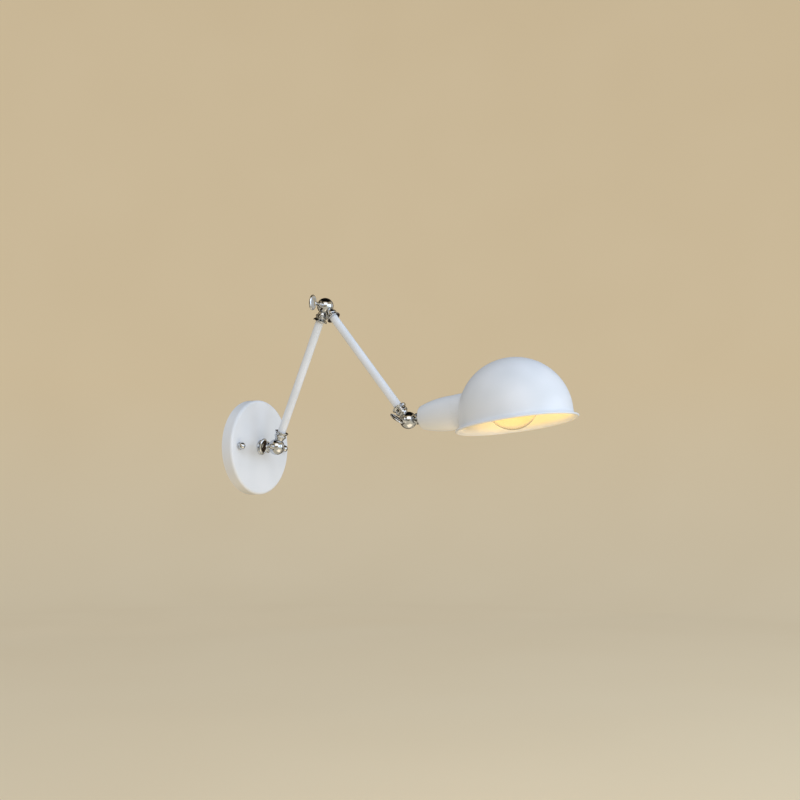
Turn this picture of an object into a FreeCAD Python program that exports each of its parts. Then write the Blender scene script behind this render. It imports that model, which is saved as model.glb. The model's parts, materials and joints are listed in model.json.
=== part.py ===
import FreeCAD, Part
import math
import os
import re

import Sketcher

# Wall lamp with two folding arms and a bowl shade.
# Millimetres, +Z up. The origin is the centre of the wall plate's back, on the wall (the plane
# Y = 0), and the lamp stands out from the wall along -Y. The arms fold in the plane X = 0, on three
# ball knuckles whose pivots lie along X. The pose is the photographed one.

# Driving sizes, in millimetres and degrees
SIZES = {
    # Wall plate, a drawn steel cup with its open side to the wall
    "plate_radius": 60.0,
    "plate_depth": 15.0,
    "plate_wall": 1.2,
    "plate_round": 3.2,
    # Mounting bracket behind the plate, its studs and their cap nuts
    "bracket_length": 104.0,
    "bracket_width": 20.0,
    "bracket_thickness": 1.5,
    "bracket_step": 4.0,
    "bracket_flat": 66.0,
    "bracket_hole_radius": 7.0,
    "wall_slot_spacing": 36.0,
    "wall_slot_length": 12.0,
    "wall_slot_width": 5.0,
    "tongue_width": 26.0,
    "tongue_reach": 36.0,
    "stud_spacing": 90.0,
    "stud_radius": 2.0,
    "stud_head_radius": 3.8,
    "stud_head_height": 2.4,
    "stud_hole_clearance": 0.3,
    "cap_nut_radius": 4.6,
    "cap_nut_step": 0.5,
    "cap_nut_skirt": 2.3,
    "cap_nut_crown": 6.2,
    "cap_nut_thread_depth": 5.5,
    # Terminal block on the bracket's tongue
    "block_length": 24.0,
    "block_width": 15.0,
    "block_height": 9.5,
    "pole_spacing": 7.4,
    "pole_bore_radius": 1.7,
    "pole_bore_height": 3.8,
    "pole_screw_radius": 1.5,
    "pole_screw_depth": 3.2,
    # Threaded lamp pipe: nipples, hex nuts and arm tubes share one thread
    "pipe_radius": 5.0,
    "pipe_bore_radius": 4.0,
    "pipe_clearance": 0.05,
    "hex_flats": 14.0,
    "hex_height": 3.5,
    "nipple_tail": 7.5,
    # Arms
    "arm_length": 188.0,
    "lower_lean": 22.5,
    "upper_lean": 38.7,
    # Ball knuckles
    "knuckle_standoff": 24.0,
    "ball_radius": 10.2,
    "ball_clearance": 0.35,
    "washer_thickness": 0.6,
    "washer_inset": 0.5,
    "face_gap": 0.06,
    "pivot_radius": 2.5,
    "pivot_clearance": 0.06,
    "pivot_reach": 7.4,
    "chamber_inner_radius": 3.9,
    "chamber_outer_radius": 7.3,
    "chamber_depth": 4.4,
    "wire_hole_radius": 1.9,
    "wire_hole_offset": 2.6,
    "boss_radius": 3.8,
    "boss_reach": 12.0,
    "neck_root_radius": 4.6,
    "neck_radius": 5.9,
    "neck_shoulder": 11.2,
    "neck_end": 16.0,
    "socket_floor": 12.0,
    "bead_radius": 7.3,
    "bead_length": 3.2,
    "bead_round": 0.9,
    # Flared collars that lock the tubes in the knuckles
    "collar_length": 4.4,
    "collar_groove_radius": 6.4,
    "collar_groove_length": 1.0,
    "collar_lip_radius": 8.8,
    "collar_lip_thickness": 1.0,
    "foot_flange_radius": 9.5,
    "foot_flange_thickness": 2.2,
    "foot_ring_radius": 7.6,
    # Wing screws
    "wing_near": 21.0,
    "wing_far": 35.0,
    "wing_height": 19.0,
    "wing_thickness": 3.2,
    "wing_round": 1.3,
    "wing_neck_radius": 2.3,
    "wing_foot_radius": 3.6,
    "wing_foot_thickness": 1.6,
    "base_wing_turn": 12.6,
    "elbow_wing_turn": 5.0,
    "wrist_wing_turn": 127.0,
    # Lampholder cup and its trumpet collar
    "cup_rise": 6.3,
    "cup_start": 17.2,
    "cup_end": 65.0,
    "cup_radius": 20.1,
    "cup_wall": 1.2,
    "cup_taper": 5.8,
    "cup_taper_length": 36.0,
    "cup_nose_round": 5.0,
    "trumpet_waist_radius": 6.7,
    "trumpet_lip_radius": 8.7,
    "trumpet_lip_thickness": 1.0,
    # Lampholder
    "holder_radius": 16.6,
    "holder_bore_radius": 14.2,
    "holder_floor": 46.0,
    "holder_floor_thickness": 8.0,
    "holder_end": 86.0,
    "holder_flange_radius": 18.2,
    "holder_flange_thickness": 3.0,
    "holder_cap_start": 25.0,
    "holder_cap_wall": 2.0,
    "holder_cap_neck_radius": 7.5,
    "holder_cap_neck_length": 5.0,
    "shell_wall": 0.5,
    "shell_lead": 8.0,
    "contact_radius": 4.5,
    "contact_post_radius": 2.2,
    "contact_height": 2.7,
    "contact_thickness": 1.0,
    "terminal_spacing": 18.0,
    "terminal_radius": 2.0,
    "terminal_height": 2.6,
    "ring_length": 7.0,
    "ring_clearance": 0.1,
    "ring_gap": 0.6,
    "ring_chamfer": 0.6,
    # Shade, a spun bowl with a short spout on its side and a flared, rolled rim
    "shade_setback": 5.7,
    "shade_drop": 13.0,
    "shade_pitch": 1.8,
    "shade_radius": 63.8,
    "shade_wall": 1.0,
    "skirt_height": 5.4,
    "flare_width": 4.0,
    "flare_height": 5.4,
    "rim_bead_radius": 1.2,
    "rim_bead_drop": 0.25,
    "spout_radius": 20.5,
    "spout_wall": 1.0,
    "spout_floor": 1.2,
    # Bulb
    "bulb_radius": 30.0,
    "bulb_length": 105.0,
    "bulb_glass_wall": 0.8,
    "bulb_neck_radius": 12.4,
    "bulb_neck_length": 0.7,
    "bulb_seat": 6.0,
    "bulb_cap_length": 25.0,
    "bulb_cap_radius": 13.3,
    "bulb_cap_wall": 0.8,
    "bulb_cap_mouth_radius": 7.2,
    "bulb_cap_foot_radius": 11.3,
    "bulb_cap_foot_height": 2.4,
    "bulb_clearance": 0.3,
    "bulb_contact_radius": 4.5,
    "bulb_contact_height": 1.2,
    "bulb_insulator_height": 2.8,
    "stem_radius": 3.2,
    "stem_foot_height": 3.0,
    "stem_reach": 16.0,
    "lead_length": 46.0,
    "lead_wire_radius": 0.5,
    "filament_radius": 6.0,
    "filament_wire_radius": 0.5,
}

# Places worked out from the driving sizes
PLACES = {
    "base_y": "-(plate_depth + knuckle_standoff)",
    "elbow_y": "base_y - arm_length * sin(lower_lean)",
    "elbow_z": "arm_length * cos(lower_lean)",
    "wrist_y": "elbow_y - arm_length * sin(upper_lean)",
    "wrist_z": "elbow_z - arm_length * cos(upper_lean)",
    "near_face": "washer_thickness / 2",
    "far_face": "washer_thickness / 2 + face_gap",
    "pivot_hole": "pivot_radius + pivot_clearance",
    "pipe_hole": "pipe_radius + pipe_clearance",
    "stud_hole": "stud_radius + stud_hole_clearance",
    "collar_end": "neck_end + collar_length",
    "plate_floor": "plate_depth - plate_wall",
    "stud_seat": "bracket_step + bracket_thickness",
    "earth_screw_place": "(wall_slot_spacing + wall_slot_length + bracket_flat - bracket_thickness) / 4",
    "tongue_middle": "bracket_width / 2 + (tongue_reach - bracket_width / 2) / 2",
    "cup_bow": "(cup_taper^2 + cup_taper_length^2) / (2 * cup_taper)",
    "cup_slope_sin": "cup_taper_length / cup_bow",
    "cup_slope_cos": "(cup_bow - cup_taper) / cup_bow",
    "cup_shoulder_radius": "cup_radius - cup_taper",
    "cup_shoulder": "cup_start + cup_nose_round * (1 - cup_slope_sin)",
    "cup_nose_radius": "cup_shoulder_radius - cup_nose_round * cup_slope_cos",
    "spout_start": "cup_end + face_gap",
    "spout_overrun": "shade_radius / 2",
    "shade_reach": "cup_end + shade_setback + shade_radius",
    "spout_seat": "spout_start + spout_floor",
    "holder_cavity": "holder_floor + holder_floor_thickness",
    "shell_radius": "holder_bore_radius - pipe_clearance",
    "flare_bow": "(flare_width^2 + flare_height^2) / (2 * flare_width)",
    "flare_inner": "(flare_bow + shade_wall) / flare_bow",
    "contact_top": "holder_cavity + contact_height",
    "bulb_tip": "contact_top + bulb_clearance",
    "bulb_centre": "bulb_tip + bulb_length - bulb_radius",
    "bulb_cap_start": "bulb_tip + bulb_contact_height + bulb_insulator_height",
    "bulb_cap_end": "bulb_cap_start + bulb_cap_length",
    "bulb_waist": "bulb_cap_end + bulb_neck_length",
    "bulb_reach": "bulb_centre - bulb_waist",
    "bulb_slack": "bulb_neck_radius^2 + bulb_reach^2 - bulb_radius^2",
    "bulb_bow": "bulb_slack / (2 * (bulb_radius - bulb_neck_radius))",
    "bulb_blend_across": "(bulb_neck_radius + bulb_bow) / (bulb_radius + bulb_bow)",
    "bulb_blend_along": "bulb_reach / (bulb_radius + bulb_bow)",
    "stem_foot": "bulb_cap_end - bulb_seat",
    "stem_foot_end": "stem_foot + stem_foot_height",
    "filament_z": "stem_foot_end + lead_length",
}

# Frames that the pieces are built in: place on Y and Z, and turn about X
FRAMES = {
    "wall": ("0", "0", "90"),
    "base_fixed": ("base_y", "0", "90"),
    "lower_arm": ("base_y", "0", "lower_lean"),
    "elbow_fixed": ("elbow_y", "elbow_z", "lower_lean"),
    "upper_arm": ("elbow_y", "elbow_z", "180 - upper_lean"),
    "wrist_fixed": ("wrist_y", "wrist_z", "180 - upper_lean"),
    "head": ("wrist_y", "wrist_z", "90 - cup_rise"),
    "filament": ("wrist_y - filament_z * cos(cup_rise)", "wrist_z + filament_z * sin(cup_rise)",
                 "180 - cup_rise"),
    "base_wing": ("base_y", "0", "base_wing_turn"),
    "elbow_wing": ("elbow_y", "elbow_z", "elbow_wing_turn"),
    "wrist_wing": ("wrist_y", "wrist_z", "wrist_wing_turn"),
}

X_AXIS = FreeCAD.Vector(1, 0, 0)
FULL_TURN = 360.0
HEX_SIDES = 6

doc = FreeCAD.newDocument("WallLamp")
sheet = doc.addObject("Spreadsheet::Sheet", "Sizes")
for row, (alias, size) in enumerate(SIZES.items(), start=1):
    sheet.set(f"A{row}", alias)
    sheet.set(f"B{row}", str(size))
    sheet.setAlias(f"B{row}", alias)
doc.recompute()

nodes = []


def bound(text):
    """The expression with every size and place written out as cells of the sheet."""

    def cell(match):
        word = match.group(0)
        if word in SIZES:
            return "Sizes." + word
        if word in PLACES:
            return "(" + bound(PLACES[word]) + ")"
        return word

    return re.sub(r"[a-z_]+", cell, str(text))


def value(text):
    """The expression's present value."""
    return float(sheet.evalExpression(bound(text)))


def bind(item, **sizes):
    """Bind properties of an object to expressions."""
    for name, text in sizes.items():
        item.setExpression(name, bound(text))
    return item


def seat(item, frame):
    """Put an object in one of the lamp's frames."""
    place_y, place_z, turn = FRAMES[frame]
    item.Placement = FreeCAD.Placement(FreeCAD.Vector(), FreeCAD.Rotation(X_AXIS, value(turn)))
    item.setExpression("Placement.Base.y", bound(place_y))
    item.setExpression("Placement.Base.z", bound(place_z))
    item.setExpression("Placement.Rotation.Angle", bound(turn))
    return item


def keep(item, label):
    """Name a finished sub-part and list it for export."""
    item.Label = label
    nodes.append(item)
    return item


def new_body(label, frame=None, kept=True):
    """An empty body, seated in a frame."""
    body = doc.addObject("PartDesign::Body", label + "_body")
    if frame:
        seat(body, frame)
    if kept:
        keep(body, label)
    return body


def profile(body, plane, outline, turn=1):
    """A closed sketch on one of the body's own planes.

    Each corner is (across, along), and (across, along, radius, side) starts an arc to the next
    corner, whose centre lies on the left (1) or the right (-1) of the way there. A turn of -1 turns
    the outline half round in its plane.
    """
    sketch = body.newObject("Sketcher::SketchObject", "outline")
    support = [item for item in body.Origin.OriginFeatures if item.Role == plane][0]
    sketch.AttachmentSupport = [(support, "")]
    sketch.MapMode = "FlatFace"
    texts = [(f"{turn} * ({corner[0]})", f"{turn} * ({corner[1]})") for corner in outline]
    points = [FreeCAD.Vector(value(across), value(along), 0) for across, along in texts]
    count = len(points)
    for index, corner in enumerate(outline):
        start, end = points[index], points[(index + 1) % count]
        if len(corner) == 2:
            sketch.addGeometry(Part.LineSegment(start, end), False)
        else:
            sketch.addGeometry(arc_between(start, end, value(corner[2]), corner[3]), False)
    for index, corner in enumerate(outline):
        after = (index + 1) % count
        # An arc whose centre is on its right runs backwards, so its ends change places
        first = 2 if len(corner) == 4 and corner[3] < 0 else 1
        last = 3 - first
        next_corner = outline[after]
        next_first = 2 if len(next_corner) == 4 and next_corner[3] < 0 else 1
        sketch.addConstraint(Sketcher.Constraint("Coincident", index, last, after, next_first))
        for kind, text in zip(("DistanceX", "DistanceY"), texts[index]):
            rule = Sketcher.Constraint(kind, -1, 1, index, first, value(text))
            sketch.setExpression(f"Constraints[{sketch.addConstraint(rule)}]", bound(text))
        if len(corner) == 4:
            rule = Sketcher.Constraint("Radius", index, value(corner[2]))
            sketch.setExpression(f"Constraints[{sketch.addConstraint(rule)}]", bound(corner[2]))
    return sketch


def arc_between(start, end, radius, side):
    """The short arc of a radius between two points, with its centre on a side of the chord."""
    chord = end - start
    half = chord.Length / 2
    rise = math.sqrt(max(radius * radius - half * half, 0.0))
    left = FreeCAD.Vector(-chord.y, chord.x, 0).normalize()
    centre = (start + end) * 0.5 + left * (rise * side)
    begin = math.atan2(start.y - centre.y, start.x - centre.x)
    finish = math.atan2(end.y - centre.y, end.x - centre.x)
    if side < 0:
        begin, finish = finish, begin
    circle = Part.Circle(centre, FreeCAD.Vector(0, 0, 1), radius)
    return Part.ArcOfCircle(circle, begin, finish)


def turned(body, outline, about="V_Axis", turn=1, groove=False):
    """Turn an outline about the body's Z (V_Axis) or X (H_Axis), to add or to take away."""
    sketch = profile(body, "XZ_Plane", outline, turn)
    kind = "PartDesign::Groove" if groove else "PartDesign::Revolution"
    feature = body.newObject(kind, "turning")
    feature.Profile = sketch
    feature.ReferenceAxis = (sketch, [about])
    feature.Angle = FULL_TURN
    return feature


def padded(body, outline, plane, length, symmetric=False, reverse=False):
    """Pad an outline square to its plane."""
    feature = body.newObject("PartDesign::Pad", "pad")
    feature.Profile = profile(body, plane, outline)
    bind(feature, Length=length)
    feature.Midplane = symmetric
    feature.Reversed = reverse
    return feature


def pocketed(body, sketch, length=None, reverse=True):
    """Pocket a sketch along +Z, or through everything both ways."""
    feature = body.newObject("PartDesign::Pocket", "pocket")
    feature.Profile = sketch
    if length is None:
        feature.Type = "ThroughAll"
        feature.Midplane = True
    else:
        bind(feature, Length=length)
        feature.Reversed = reverse
    return feature


def rounds(body, centres, radius, plane="XY_Plane"):
    """A sketch of equal circles on one of the body's planes."""
    sketch = body.newObject("Sketcher::SketchObject", "circles")
    support = [item for item in body.Origin.OriginFeatures if item.Role == plane][0]
    sketch.AttachmentSupport = [(support, "")]
    sketch.MapMode = "FlatFace"
    axis = FreeCAD.Vector(0, 0, 1)
    for index, centre in enumerate(centres):
        middle = FreeCAD.Vector(value(centre[0]), value(centre[1]), 0)
        sketch.addGeometry(Part.Circle(middle, axis, value(radius)), False)
        for kind, text in zip(("DistanceX", "DistanceY"), centre):
            rule = Sketcher.Constraint(kind, -1, 1, index, 3, value(text))
            sketch.setExpression(f"Constraints[{sketch.addConstraint(rule)}]", bound(text))
        rule = Sketcher.Constraint("Radius", index, value(radius))
        sketch.setExpression(f"Constraints[{sketch.addConstraint(rule)}]", bound(radius))
    return sketch


def rectangle(left, low, right, high):
    """The corners of a rectangle."""
    return [(left, low), (right, low), (right, high), (left, high)]


def tube(label, frame, outer, inner, start, end):
    """A plain tube along its frame's Z."""
    body = new_body(label, frame)
    turned(body, rectangle(inner, start, outer, end))
    return body


def group(label, members):
    """Equal pieces that share a node, as separate solids."""
    bundle = doc.addObject("Part::Compound", label + "_group")
    bundle.Links = members
    return keep(bundle, label)


def hex_nut(label, frame, start):
    """A thin hex nut for the lamp pipe."""
    body = new_body(label, frame)
    corner = f"hex_flats / 2 / cos({FULL_TURN / 2 / HEX_SIDES})"
    angles = [FULL_TURN * side / HEX_SIDES for side in range(HEX_SIDES)]
    outline = [(f"{corner} * cos({angle})", f"{corner} * sin({angle})") for angle in angles]
    sketch = profile(body, "XY_Plane", outline)
    bind(sketch, **{"AttachmentOffset.Base.z": start})
    pad = body.newObject("PartDesign::Pad", "pad")
    pad.Profile = sketch
    bind(pad, Length="hex_height")
    pocketed(body, rounds(body, [("0", "0")], "pipe_hole"))
    return body


def wall_plate():
    """The drawn plate, with the nipple's hole and two stud holes in its face."""
    body = new_body("wall_plate", "wall")
    inner = "plate_radius - plate_wall"
    turned(body, [
        (inner, "0"),
        ("plate_radius", "0"),
        ("plate_radius", "plate_depth - plate_round", "plate_round", 1),
        ("plate_radius - plate_round", "plate_depth"),
        ("pipe_hole", "plate_depth"),
        ("pipe_hole", "plate_floor"),
        ("plate_radius - plate_round", "plate_floor", "plate_round - plate_wall", -1),
        (inner, "plate_depth - plate_round"),
    ])
    centres = [("stud_spacing / 2", "0"), ("-stud_spacing / 2", "0")]
    pocketed(body, rounds(body, centres, "stud_hole"))


def mounting_bracket():
    """A stepped strip with wall slots, raised ends for the studs and a tongue for the terminals."""
    body = new_body("mounting_bracket", "wall")
    end = "bracket_length / 2"
    flat = "bracket_flat / 2"
    ramp = "bracket_flat / 2 + bracket_step"
    padded(body, [
        (f"-{flat}", "0"),
        (flat, "0"),
        (ramp, "bracket_step"),
        (end, "bracket_step"),
        (end, "stud_seat"),
        (f"{ramp} - bracket_thickness / 2", "stud_seat"),
        (f"{flat} - bracket_thickness / 2", "bracket_thickness"),
        (f"-({flat} - bracket_thickness / 2)", "bracket_thickness"),
        (f"-({ramp} - bracket_thickness / 2)", "stud_seat"),
        (f"-({end})", "stud_seat"),
        (f"-({end})", "bracket_step"),
        (f"-({ramp})", "bracket_step"),
    ], "XZ_Plane", "bracket_width", symmetric=True)
    tongue = rectangle("-tongue_width / 2", "-tongue_reach", "tongue_width / 2", "-bracket_width / 4")
    padded(body, tongue, "XY_Plane", "bracket_thickness")
    half = "wall_slot_width / 2"
    straight = "(wall_slot_length - wall_slot_width) / 2"
    for sign in ("-", ""):
        middle = f"{sign}wall_slot_spacing / 2"
        slot = profile(body, "XY_Plane", [
            (f"{middle} - {straight}", f"-{half}"),
            (f"{middle} + {straight}", f"-{half}", half, 1),
            (f"{middle} + {straight} + {half}", "0", half, 1),
            (f"{middle} + {straight}", half),
            (f"{middle} - {straight}", half, half, 1),
            (f"{middle} - {straight} - {half}", "0", half, 1),
        ])
        pocketed(body, slot)
    pocketed(body, rounds(body, [("0", "0")], "bracket_hole_radius"))
    studs = [("stud_spacing / 2", "0"), ("-stud_spacing / 2", "0")]
    pocketed(body, rounds(body, studs, "stud_radius + pipe_clearance"))
    earth = [("earth_screw_place", "0")]
    pocketed(body, rounds(body, earth, "stud_radius + pipe_clearance"))


def pan_screw(name, across, head_seat, shank_end, head_up):
    """A pan head screw along the wall frame's Z, its head above or below its seat."""
    body = new_body(name, kept=False)
    head = "stud_head_height" if head_up else "-stud_head_height"
    outline = [
        ("0", shank_end),
        ("stud_radius", shank_end),
        ("stud_radius", head_seat),
        ("stud_head_radius", head_seat),
        ("stud_head_radius", f"{head_seat} + {head} / 2"),
        ("stud_head_radius - stud_head_height / 2", f"{head_seat} + {head}"),
        ("0", f"{head_seat} + {head}"),
    ]
    turned(body, outline)
    return move_in_wall(body, across)


def move_in_wall(body, across):
    """Seat a body in the wall frame, moved along X."""
    seat(body, "wall")
    body.setExpression("Placement.Base.x", bound(across))
    return body


def bracket_fasteners():
    """Two studs with heads behind the raised ends, their cap nuts, and the earth screw."""
    studs = []
    nuts = []
    nut_top = "plate_depth + cap_nut_skirt + cap_nut_crown"
    crown_radius = "(cap_nut_radius - cap_nut_step)"
    crown_bow = f"({crown_radius}^2 + cap_nut_crown^2) / (2 * cap_nut_crown)"
    for side, across in (("left", "-stud_spacing / 2"), ("right", "stud_spacing / 2")):
        tip = "plate_depth + cap_nut_thread_depth"
        studs.append(pan_screw(f"stud_{side}", across, "bracket_step", tip, False))
        nut = new_body(f"nut_{side}", kept=False)
        turned(nut, [
            ("stud_radius + pipe_clearance", "plate_depth"),
            ("cap_nut_radius", "plate_depth"),
            ("cap_nut_radius", "plate_depth + cap_nut_skirt"),
            (crown_radius, "plate_depth + cap_nut_skirt", crown_bow, 1),
            ("0", nut_top),
            ("0", f"{tip} + pipe_clearance"),
            ("stud_radius + pipe_clearance", f"{tip} + pipe_clearance"),
        ])
        nuts.append(move_in_wall(nut, across))
    group("bracket_studs", studs)
    group("cap_nuts", nuts)
    keep(pan_screw("earth", "earth_screw_place", "bracket_thickness", "face_gap", True), "earth_screw")


def terminal_block():
    """A three pole terminal block on the bracket's tongue, with its clamp screws."""
    poles = ["-pole_spacing", "0", "pole_spacing"]
    low = "-(tongue_middle + block_width / 2)"
    high = "-(tongue_middle - block_width / 2)"
    body = new_body("terminal_block", "wall")
    outline = rectangle("-block_length / 2", low, "block_length / 2", high)
    sketch = profile(body, "XY_Plane", outline)
    bind(sketch, **{"AttachmentOffset.Base.z": "bracket_thickness"})
    pad = body.newObject("PartDesign::Pad", "pad")
    pad.Profile = sketch
    bind(pad, Length="block_height")
    wire_height = "bracket_thickness + pole_bore_height"
    pocketed(body, rounds(body, [(pole, wire_height) for pole in poles], "pole_bore_radius", "XZ_Plane"))
    top = "bracket_thickness + block_height"
    wells = rounds(body, [(pole, "-tongue_middle") for pole in poles], "pole_screw_radius + ring_clearance")
    bind(wells, **{"AttachmentOffset.Base.z": f"{top} - pole_screw_depth"})
    pocketed(body, wells, "pole_screw_depth + face_gap")
    screws = []
    for number, pole in enumerate(poles, start=1):
        screw = new_body(f"pole_screw_{number}", kept=False)
        turned(screw, rectangle("0", f"{top} - pole_screw_depth", "pole_screw_radius", f"{top} - face_gap"))
        move_in_wall(screw, pole)
        screw.setExpression("Placement.Base.z", bound("-tongue_middle"))
        screws.append(screw)
    group("terminal_block_screws", screws)


def base_fittings():
    """The nipple through the plate, its nut inside, and the flanged foot collar outside."""
    socket = "plate_depth + knuckle_standoff - socket_floor"
    tube("base_nipple", "wall", "pipe_radius", "pipe_bore_radius", "plate_floor - nipple_tail", socket)
    hex_nut("base_nut", "wall", "plate_floor - hex_height")
    body = new_body("base_collar", "wall")
    neck = "plate_depth + knuckle_standoff - neck_end"
    flange = "plate_depth + foot_flange_thickness"
    ring_bow = f"({neck} - {flange} - collar_groove_length) / 2"
    turned(body, [
        ("pipe_hole", "plate_depth"),
        ("foot_flange_radius", "plate_depth"),
        ("foot_flange_radius", "plate_depth + foot_flange_thickness / 2"),
        ("foot_flange_radius - foot_flange_thickness / 2", flange),
        ("collar_groove_radius", flange),
        ("collar_groove_radius", f"{flange} + collar_groove_length"),
        ("foot_ring_radius", f"{flange} + collar_groove_length + {ring_bow} / 2"),
        ("foot_ring_radius", f"{neck} - {ring_bow} / 2"),
        ("collar_groove_radius", neck),
        ("pipe_hole", neck),
    ])


def arm_collar(label, frame, at_far_end):
    """A flared collar on an arm tube, its lip towards the tube."""
    body = new_body(label, frame)
    lip = "collar_end - collar_lip_thickness"
    groove = "neck_end + collar_groove_length"
    outline = [
        ("pipe_hole", "neck_end"),
        ("collar_groove_radius", "neck_end"),
        ("collar_groove_radius", groove),
        ("bead_radius", f"{groove} + collar_groove_length / 2"),
        ("collar_lip_radius", lip),
        ("collar_lip_radius", "collar_end"),
        ("pipe_hole", "collar_end"),
    ]
    if at_far_end:
        outline = [(across, f"arm_length - ({along})") for across, along in reversed(outline)]
    turned(body, outline)


def knuckle_half(label, frame, near, bead=True):
    """One half of a ball knuckle, with its neck along Z.

    The near half carries the boss that the wing screw passes through, and the far half takes the
    screw's thread. Each half clears the other half's ball where its neck crosses the split.
    """
    body = new_body(label, frame)
    turn = -1 if near else 1
    face = "near_face" if near else "far_face"
    ball_at_face = f"sqrt(ball_radius^2 - ({face})^2)"
    ball_at_boss = "sqrt(ball_radius^2 - boss_radius^2)"
    chamber = f"{face} + chamber_depth"
    if near:
        middle = [
            ("boss_reach", "pivot_hole"),
            ("boss_reach", "boss_radius"),
            (ball_at_boss, "boss_radius", "ball_radius", 1),
        ]
    else:
        middle = [
            ("pivot_reach + ball_clearance", "pivot_hole"),
            ("pivot_reach + ball_clearance", "0"),
            ("ball_radius", "0", "ball_radius", 1),
        ]
    turned(body, middle + [
        (face, ball_at_face),
        (face, "chamber_outer_radius"),
        (chamber, "chamber_outer_radius"),
        (chamber, "chamber_inner_radius"),
        (face, "chamber_inner_radius"),
        (face, "pivot_hole"),
    ], "H_Axis", turn)
    neck_root = "chamber_outer_radius + bead_round"
    neck = [("0", neck_root), ("neck_root_radius", neck_root), ("neck_radius", "neck_shoulder")]
    if bead:
        bead_start = "neck_end - bead_length"
        neck += [
            ("neck_radius", bead_start),
            ("bead_radius - bead_round", bead_start, "bead_round", 1),
            ("bead_radius", f"{bead_start} + bead_round"),
            ("bead_radius", "neck_end - bead_round", "bead_round", 1),
            ("bead_radius - bead_round", "neck_end"),
        ]
    else:
        neck += [("neck_radius", "neck_end")]
    turned(body, neck + [("0", "neck_end")], "V_Axis", turn)
    cleared = "ball_radius + ball_clearance"
    cleared_at_face = f"sqrt(({cleared})^2 - ({face})^2)"
    turned(body, [
        (face, "0"),
        (face, cleared_at_face, cleared, 1),
        (f"-({cleared})", "0"),
    ], "H_Axis", turn, groove=True)
    turned(body, rectangle("0", "socket_floor", "pipe_hole", "neck_end"), "V_Axis", turn, groove=True)
    offset = "-wire_hole_offset" if near else "wire_hole_offset"
    hole = rounds(body, [(offset, "0")], "wire_hole_radius")
    root = "(chamber_outer_radius + chamber_inner_radius) / 2"
    bind(hole, **{"AttachmentOffset.Base.z": f"{turn} * ({root})"})
    pocketed(body, hole, f"socket_floor - {root} + face_gap", reverse=not near)


def friction_washer(label, frame):
    """A thin washer between the two halves of a knuckle."""
    body = new_body(label, frame)
    outer = "ball_radius - washer_inset"
    turned(body, rectangle("-near_face", "chamber_inner_radius", "near_face", outer), "H_Axis")


def wing_screw(label, frame):
    """A thumb screw with an oval wing, along -X, through the near half into the far half."""
    body = new_body(label, frame)
    foot = "boss_reach + face_gap"
    neck = f"{foot} + wing_foot_thickness"
    middle = "(wing_near + wing_far) / 2"
    half_height = "wing_height / 2"
    half_width = "(wing_far - wing_near) / 2"
    bow = f"(({half_height})^2 + ({half_width})^2) / (2 * ({half_width}))"
    blade = padded(body, [
        (f"-({middle})", half_height, bow, 1),
        ("-wing_far", "0", bow, 1),
        (f"-({middle})", f"-({half_height})", bow, 1),
        ("-wing_near", "0", bow, 1),
    ], "XZ_Plane", "wing_thickness", symmetric=True)
    doc.recompute()
    softened = body.newObject("PartDesign::Fillet", "softened_edges")
    softened.Base = (blade, flat_faces(blade.Shape))
    bind(softened, Radius="wing_round")
    turned(body, [
        ("pivot_reach", "0"),
        ("pivot_reach", "pivot_radius - bead_round"),
        ("pivot_reach - bead_round", "pivot_radius"),
        (f"-({foot})", "pivot_radius"),
        (f"-({foot})", "wing_foot_radius"),
        (f"-({neck})", "wing_foot_radius"),
        (f"-({neck} + bead_round)", "wing_neck_radius"),
        (f"-({middle})", "wing_thickness / 4"),
        (f"-({middle})", "0"),
    ], "H_Axis")


def flat_faces(shape):
    """The names of a shape's flat faces."""
    numbered = enumerate(shape.Faces, start=1)
    return [f"Face{number}" for number, face in numbered if face.Surface.TypeId == "Part::GeomPlane"]


def lamp_cup():
    """The bullet shaped cup round the lampholder, and the trumpet collar at its nose."""
    trumpet = new_body("cup_collar", "head")
    lip = "cup_start - trumpet_lip_thickness"
    reach = f"({lip} - neck_shoulder)"
    spread = "(trumpet_lip_radius - trumpet_waist_radius)"
    bow = f"({reach}^2 + {spread}^2) / (2 * {spread})"
    bore = "neck_radius + pipe_clearance"
    turned(trumpet, [
        (bore, "neck_shoulder"),
        ("trumpet_waist_radius", "neck_shoulder", bow, -1),
        ("trumpet_lip_radius", lip),
        ("trumpet_lip_radius", "cup_start"),
        (bore, "cup_start"),
    ])
    tube("cup_nipple", "head", "pipe_radius", "pipe_bore_radius", "socket_floor",
         "holder_cap_start + holder_cap_neck_length")
    hex_nut("cup_nut", "head", "cup_start + cup_wall")
    cup = new_body("lamp_cup", "head")
    bend = "cup_shoulder + cup_taper_length"
    inner = "cup_radius - cup_wall"
    turned(cup, [
        ("pipe_hole", "cup_start"),
        ("cup_nose_radius", "cup_start", "cup_nose_round", 1),
        ("cup_shoulder_radius", "cup_shoulder", "cup_bow", 1),
        ("cup_radius", bend),
        ("cup_radius", "cup_end"),
        (inner, "cup_end"),
        (inner, bend, "cup_bow - cup_wall", -1),
        ("cup_shoulder_radius - cup_wall * cup_slope_cos", "cup_shoulder + cup_wall * cup_slope_sin",
         "cup_nose_round - cup_wall", -1),
        ("cup_nose_radius", "cup_start + cup_wall"),
        ("pipe_hole", "cup_start + cup_wall"),
    ])


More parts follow.
